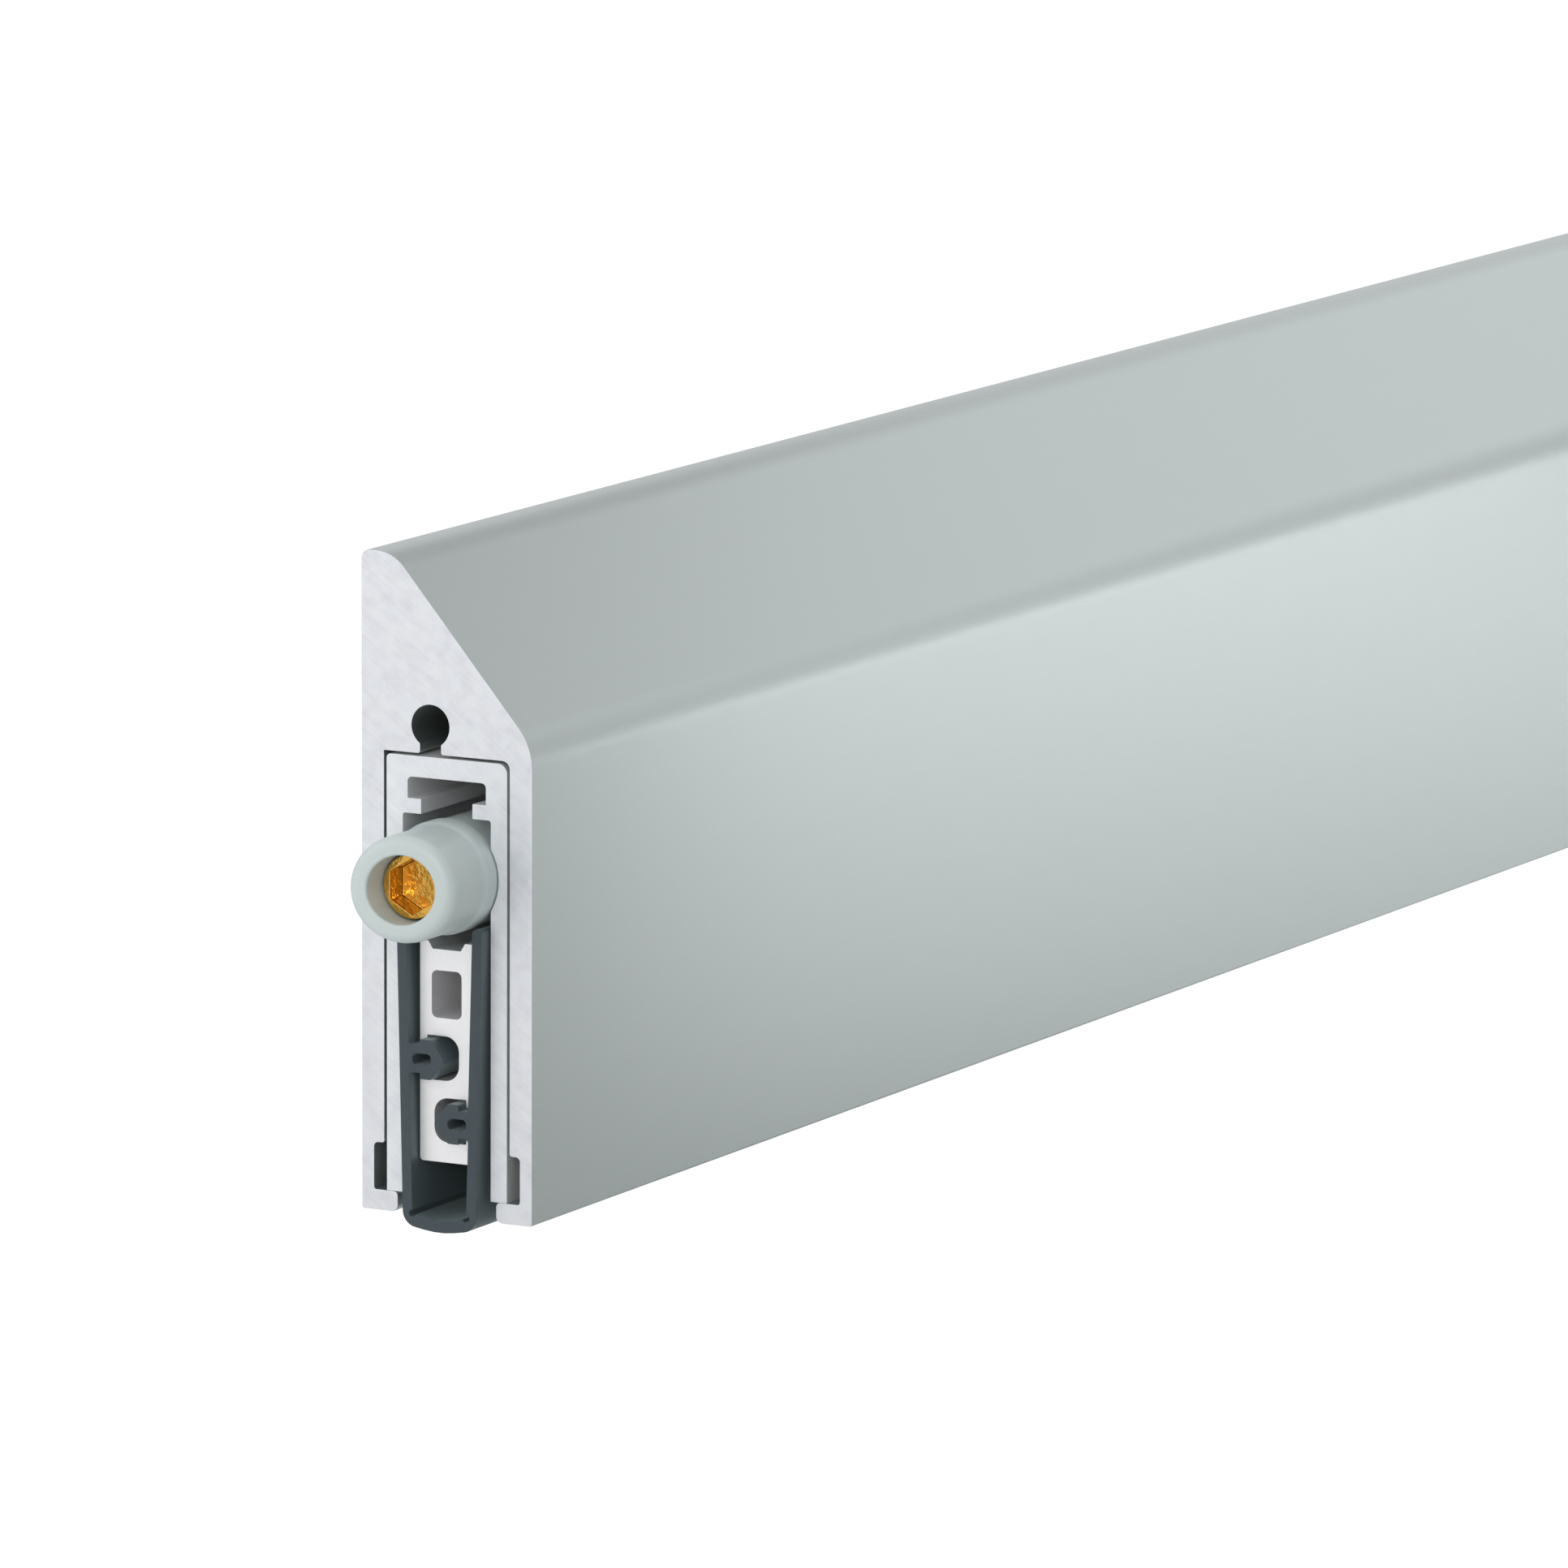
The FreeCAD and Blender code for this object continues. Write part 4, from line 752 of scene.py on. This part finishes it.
mirrored_card("front_card", place=(0.06, -0.1775, 0.0), turn=(0, QUARTER_TURN, 0), size=(0.09, 0.165),
              material=graded_card)
mirrored_card("slope_card", place=(0.05, 0.0, 0.16), turn=(QUARTER_TURN, 0, 0), size=(0.2, 0.12),
              material=plain_card)
mirrored_card("end_card", place=(0.05, 0.225, 0.0), turn=(QUARTER_TURN, 0, 0), size=(0.12, 0.1),
              material=plain_card)

world = bpy.data.worlds.new("studio_white")
bpy.context.scene.world = world
world.use_nodes = True
world_tree = world.node_tree
around = world_tree.nodes["Background"]
around.inputs["Color"].default_value = (1, 1, 1, 1)
ray = world_tree.nodes.new("ShaderNodeLightPath")
seen_extra = math_node(world_tree, "MULTIPLY", ray.outputs["Is Camera Ray"], SEEN_WORLD_EXTRA)
strength = math_node(world_tree, "ADD", seen_extra, WORLD_STRENGTH)
world_tree.links.new(strength, around.inputs["Strength"])


def soft_light(name, place, aim, size, power):
    light = bpy.data.lights.new(name, "AREA")
    light.shape = "RECTANGLE"
    light.size = size[0]
    light.size_y = size[1]
    light.energy = power
    lamp = bpy.data.objects.new(name, light)
    lamp.location = place
    lamp.rotation_euler = (Vector(place) - Vector(aim)).to_track_quat("Z", "Y").to_euler()
    bpy.context.scene.collection.objects.link(lamp)
    return lamp


soft_light("key_light", place=(-0.6, -1.1, 0.5), aim=(0, -0.15, 0), size=(0.6, 0.6), power=1.1)
soft_light("fill_light", place=(0.55, -1.12, 0.25), aim=(0, -0.17, 0), size=(0.5, 0.5), power=5.0)
floor_light = soft_light("floor_light", place=(0.45, 0.5, 0.8), aim=(0.4, 0.42, floor_z),
                         size=(0.3, 0.3), power=2.5)
floor_light.data.spread = FLOOR_LIGHT_SPREAD
soft_light("back_light", place=(0.3, 1.0, 0.55), aim=(0, 0, 0), size=(0.6, 0.4), power=0.2)

lens = bpy.data.cameras.new("camera")
lens.lens = LENS
lens.sensor_width = SENSOR
camera = bpy.data.objects.new("camera", lens)
camera.matrix_world = (
    Matrix.Translation(CAMERA_PLACE)
    @ Matrix.Rotation(math.radians(CAMERA_AZIMUTH), 4, "Z")
    @ Matrix.Rotation(math.radians(90 - CAMERA_ELEVATION), 4, "X")
    @ Matrix.Rotation(math.radians(CAMERA_ROLL), 4, "Z"))
bpy.context.scene.collection.objects.link(camera)
bpy.context.scene.camera = camera
bpy.context.scene.view_settings.view_transform = "Standard"
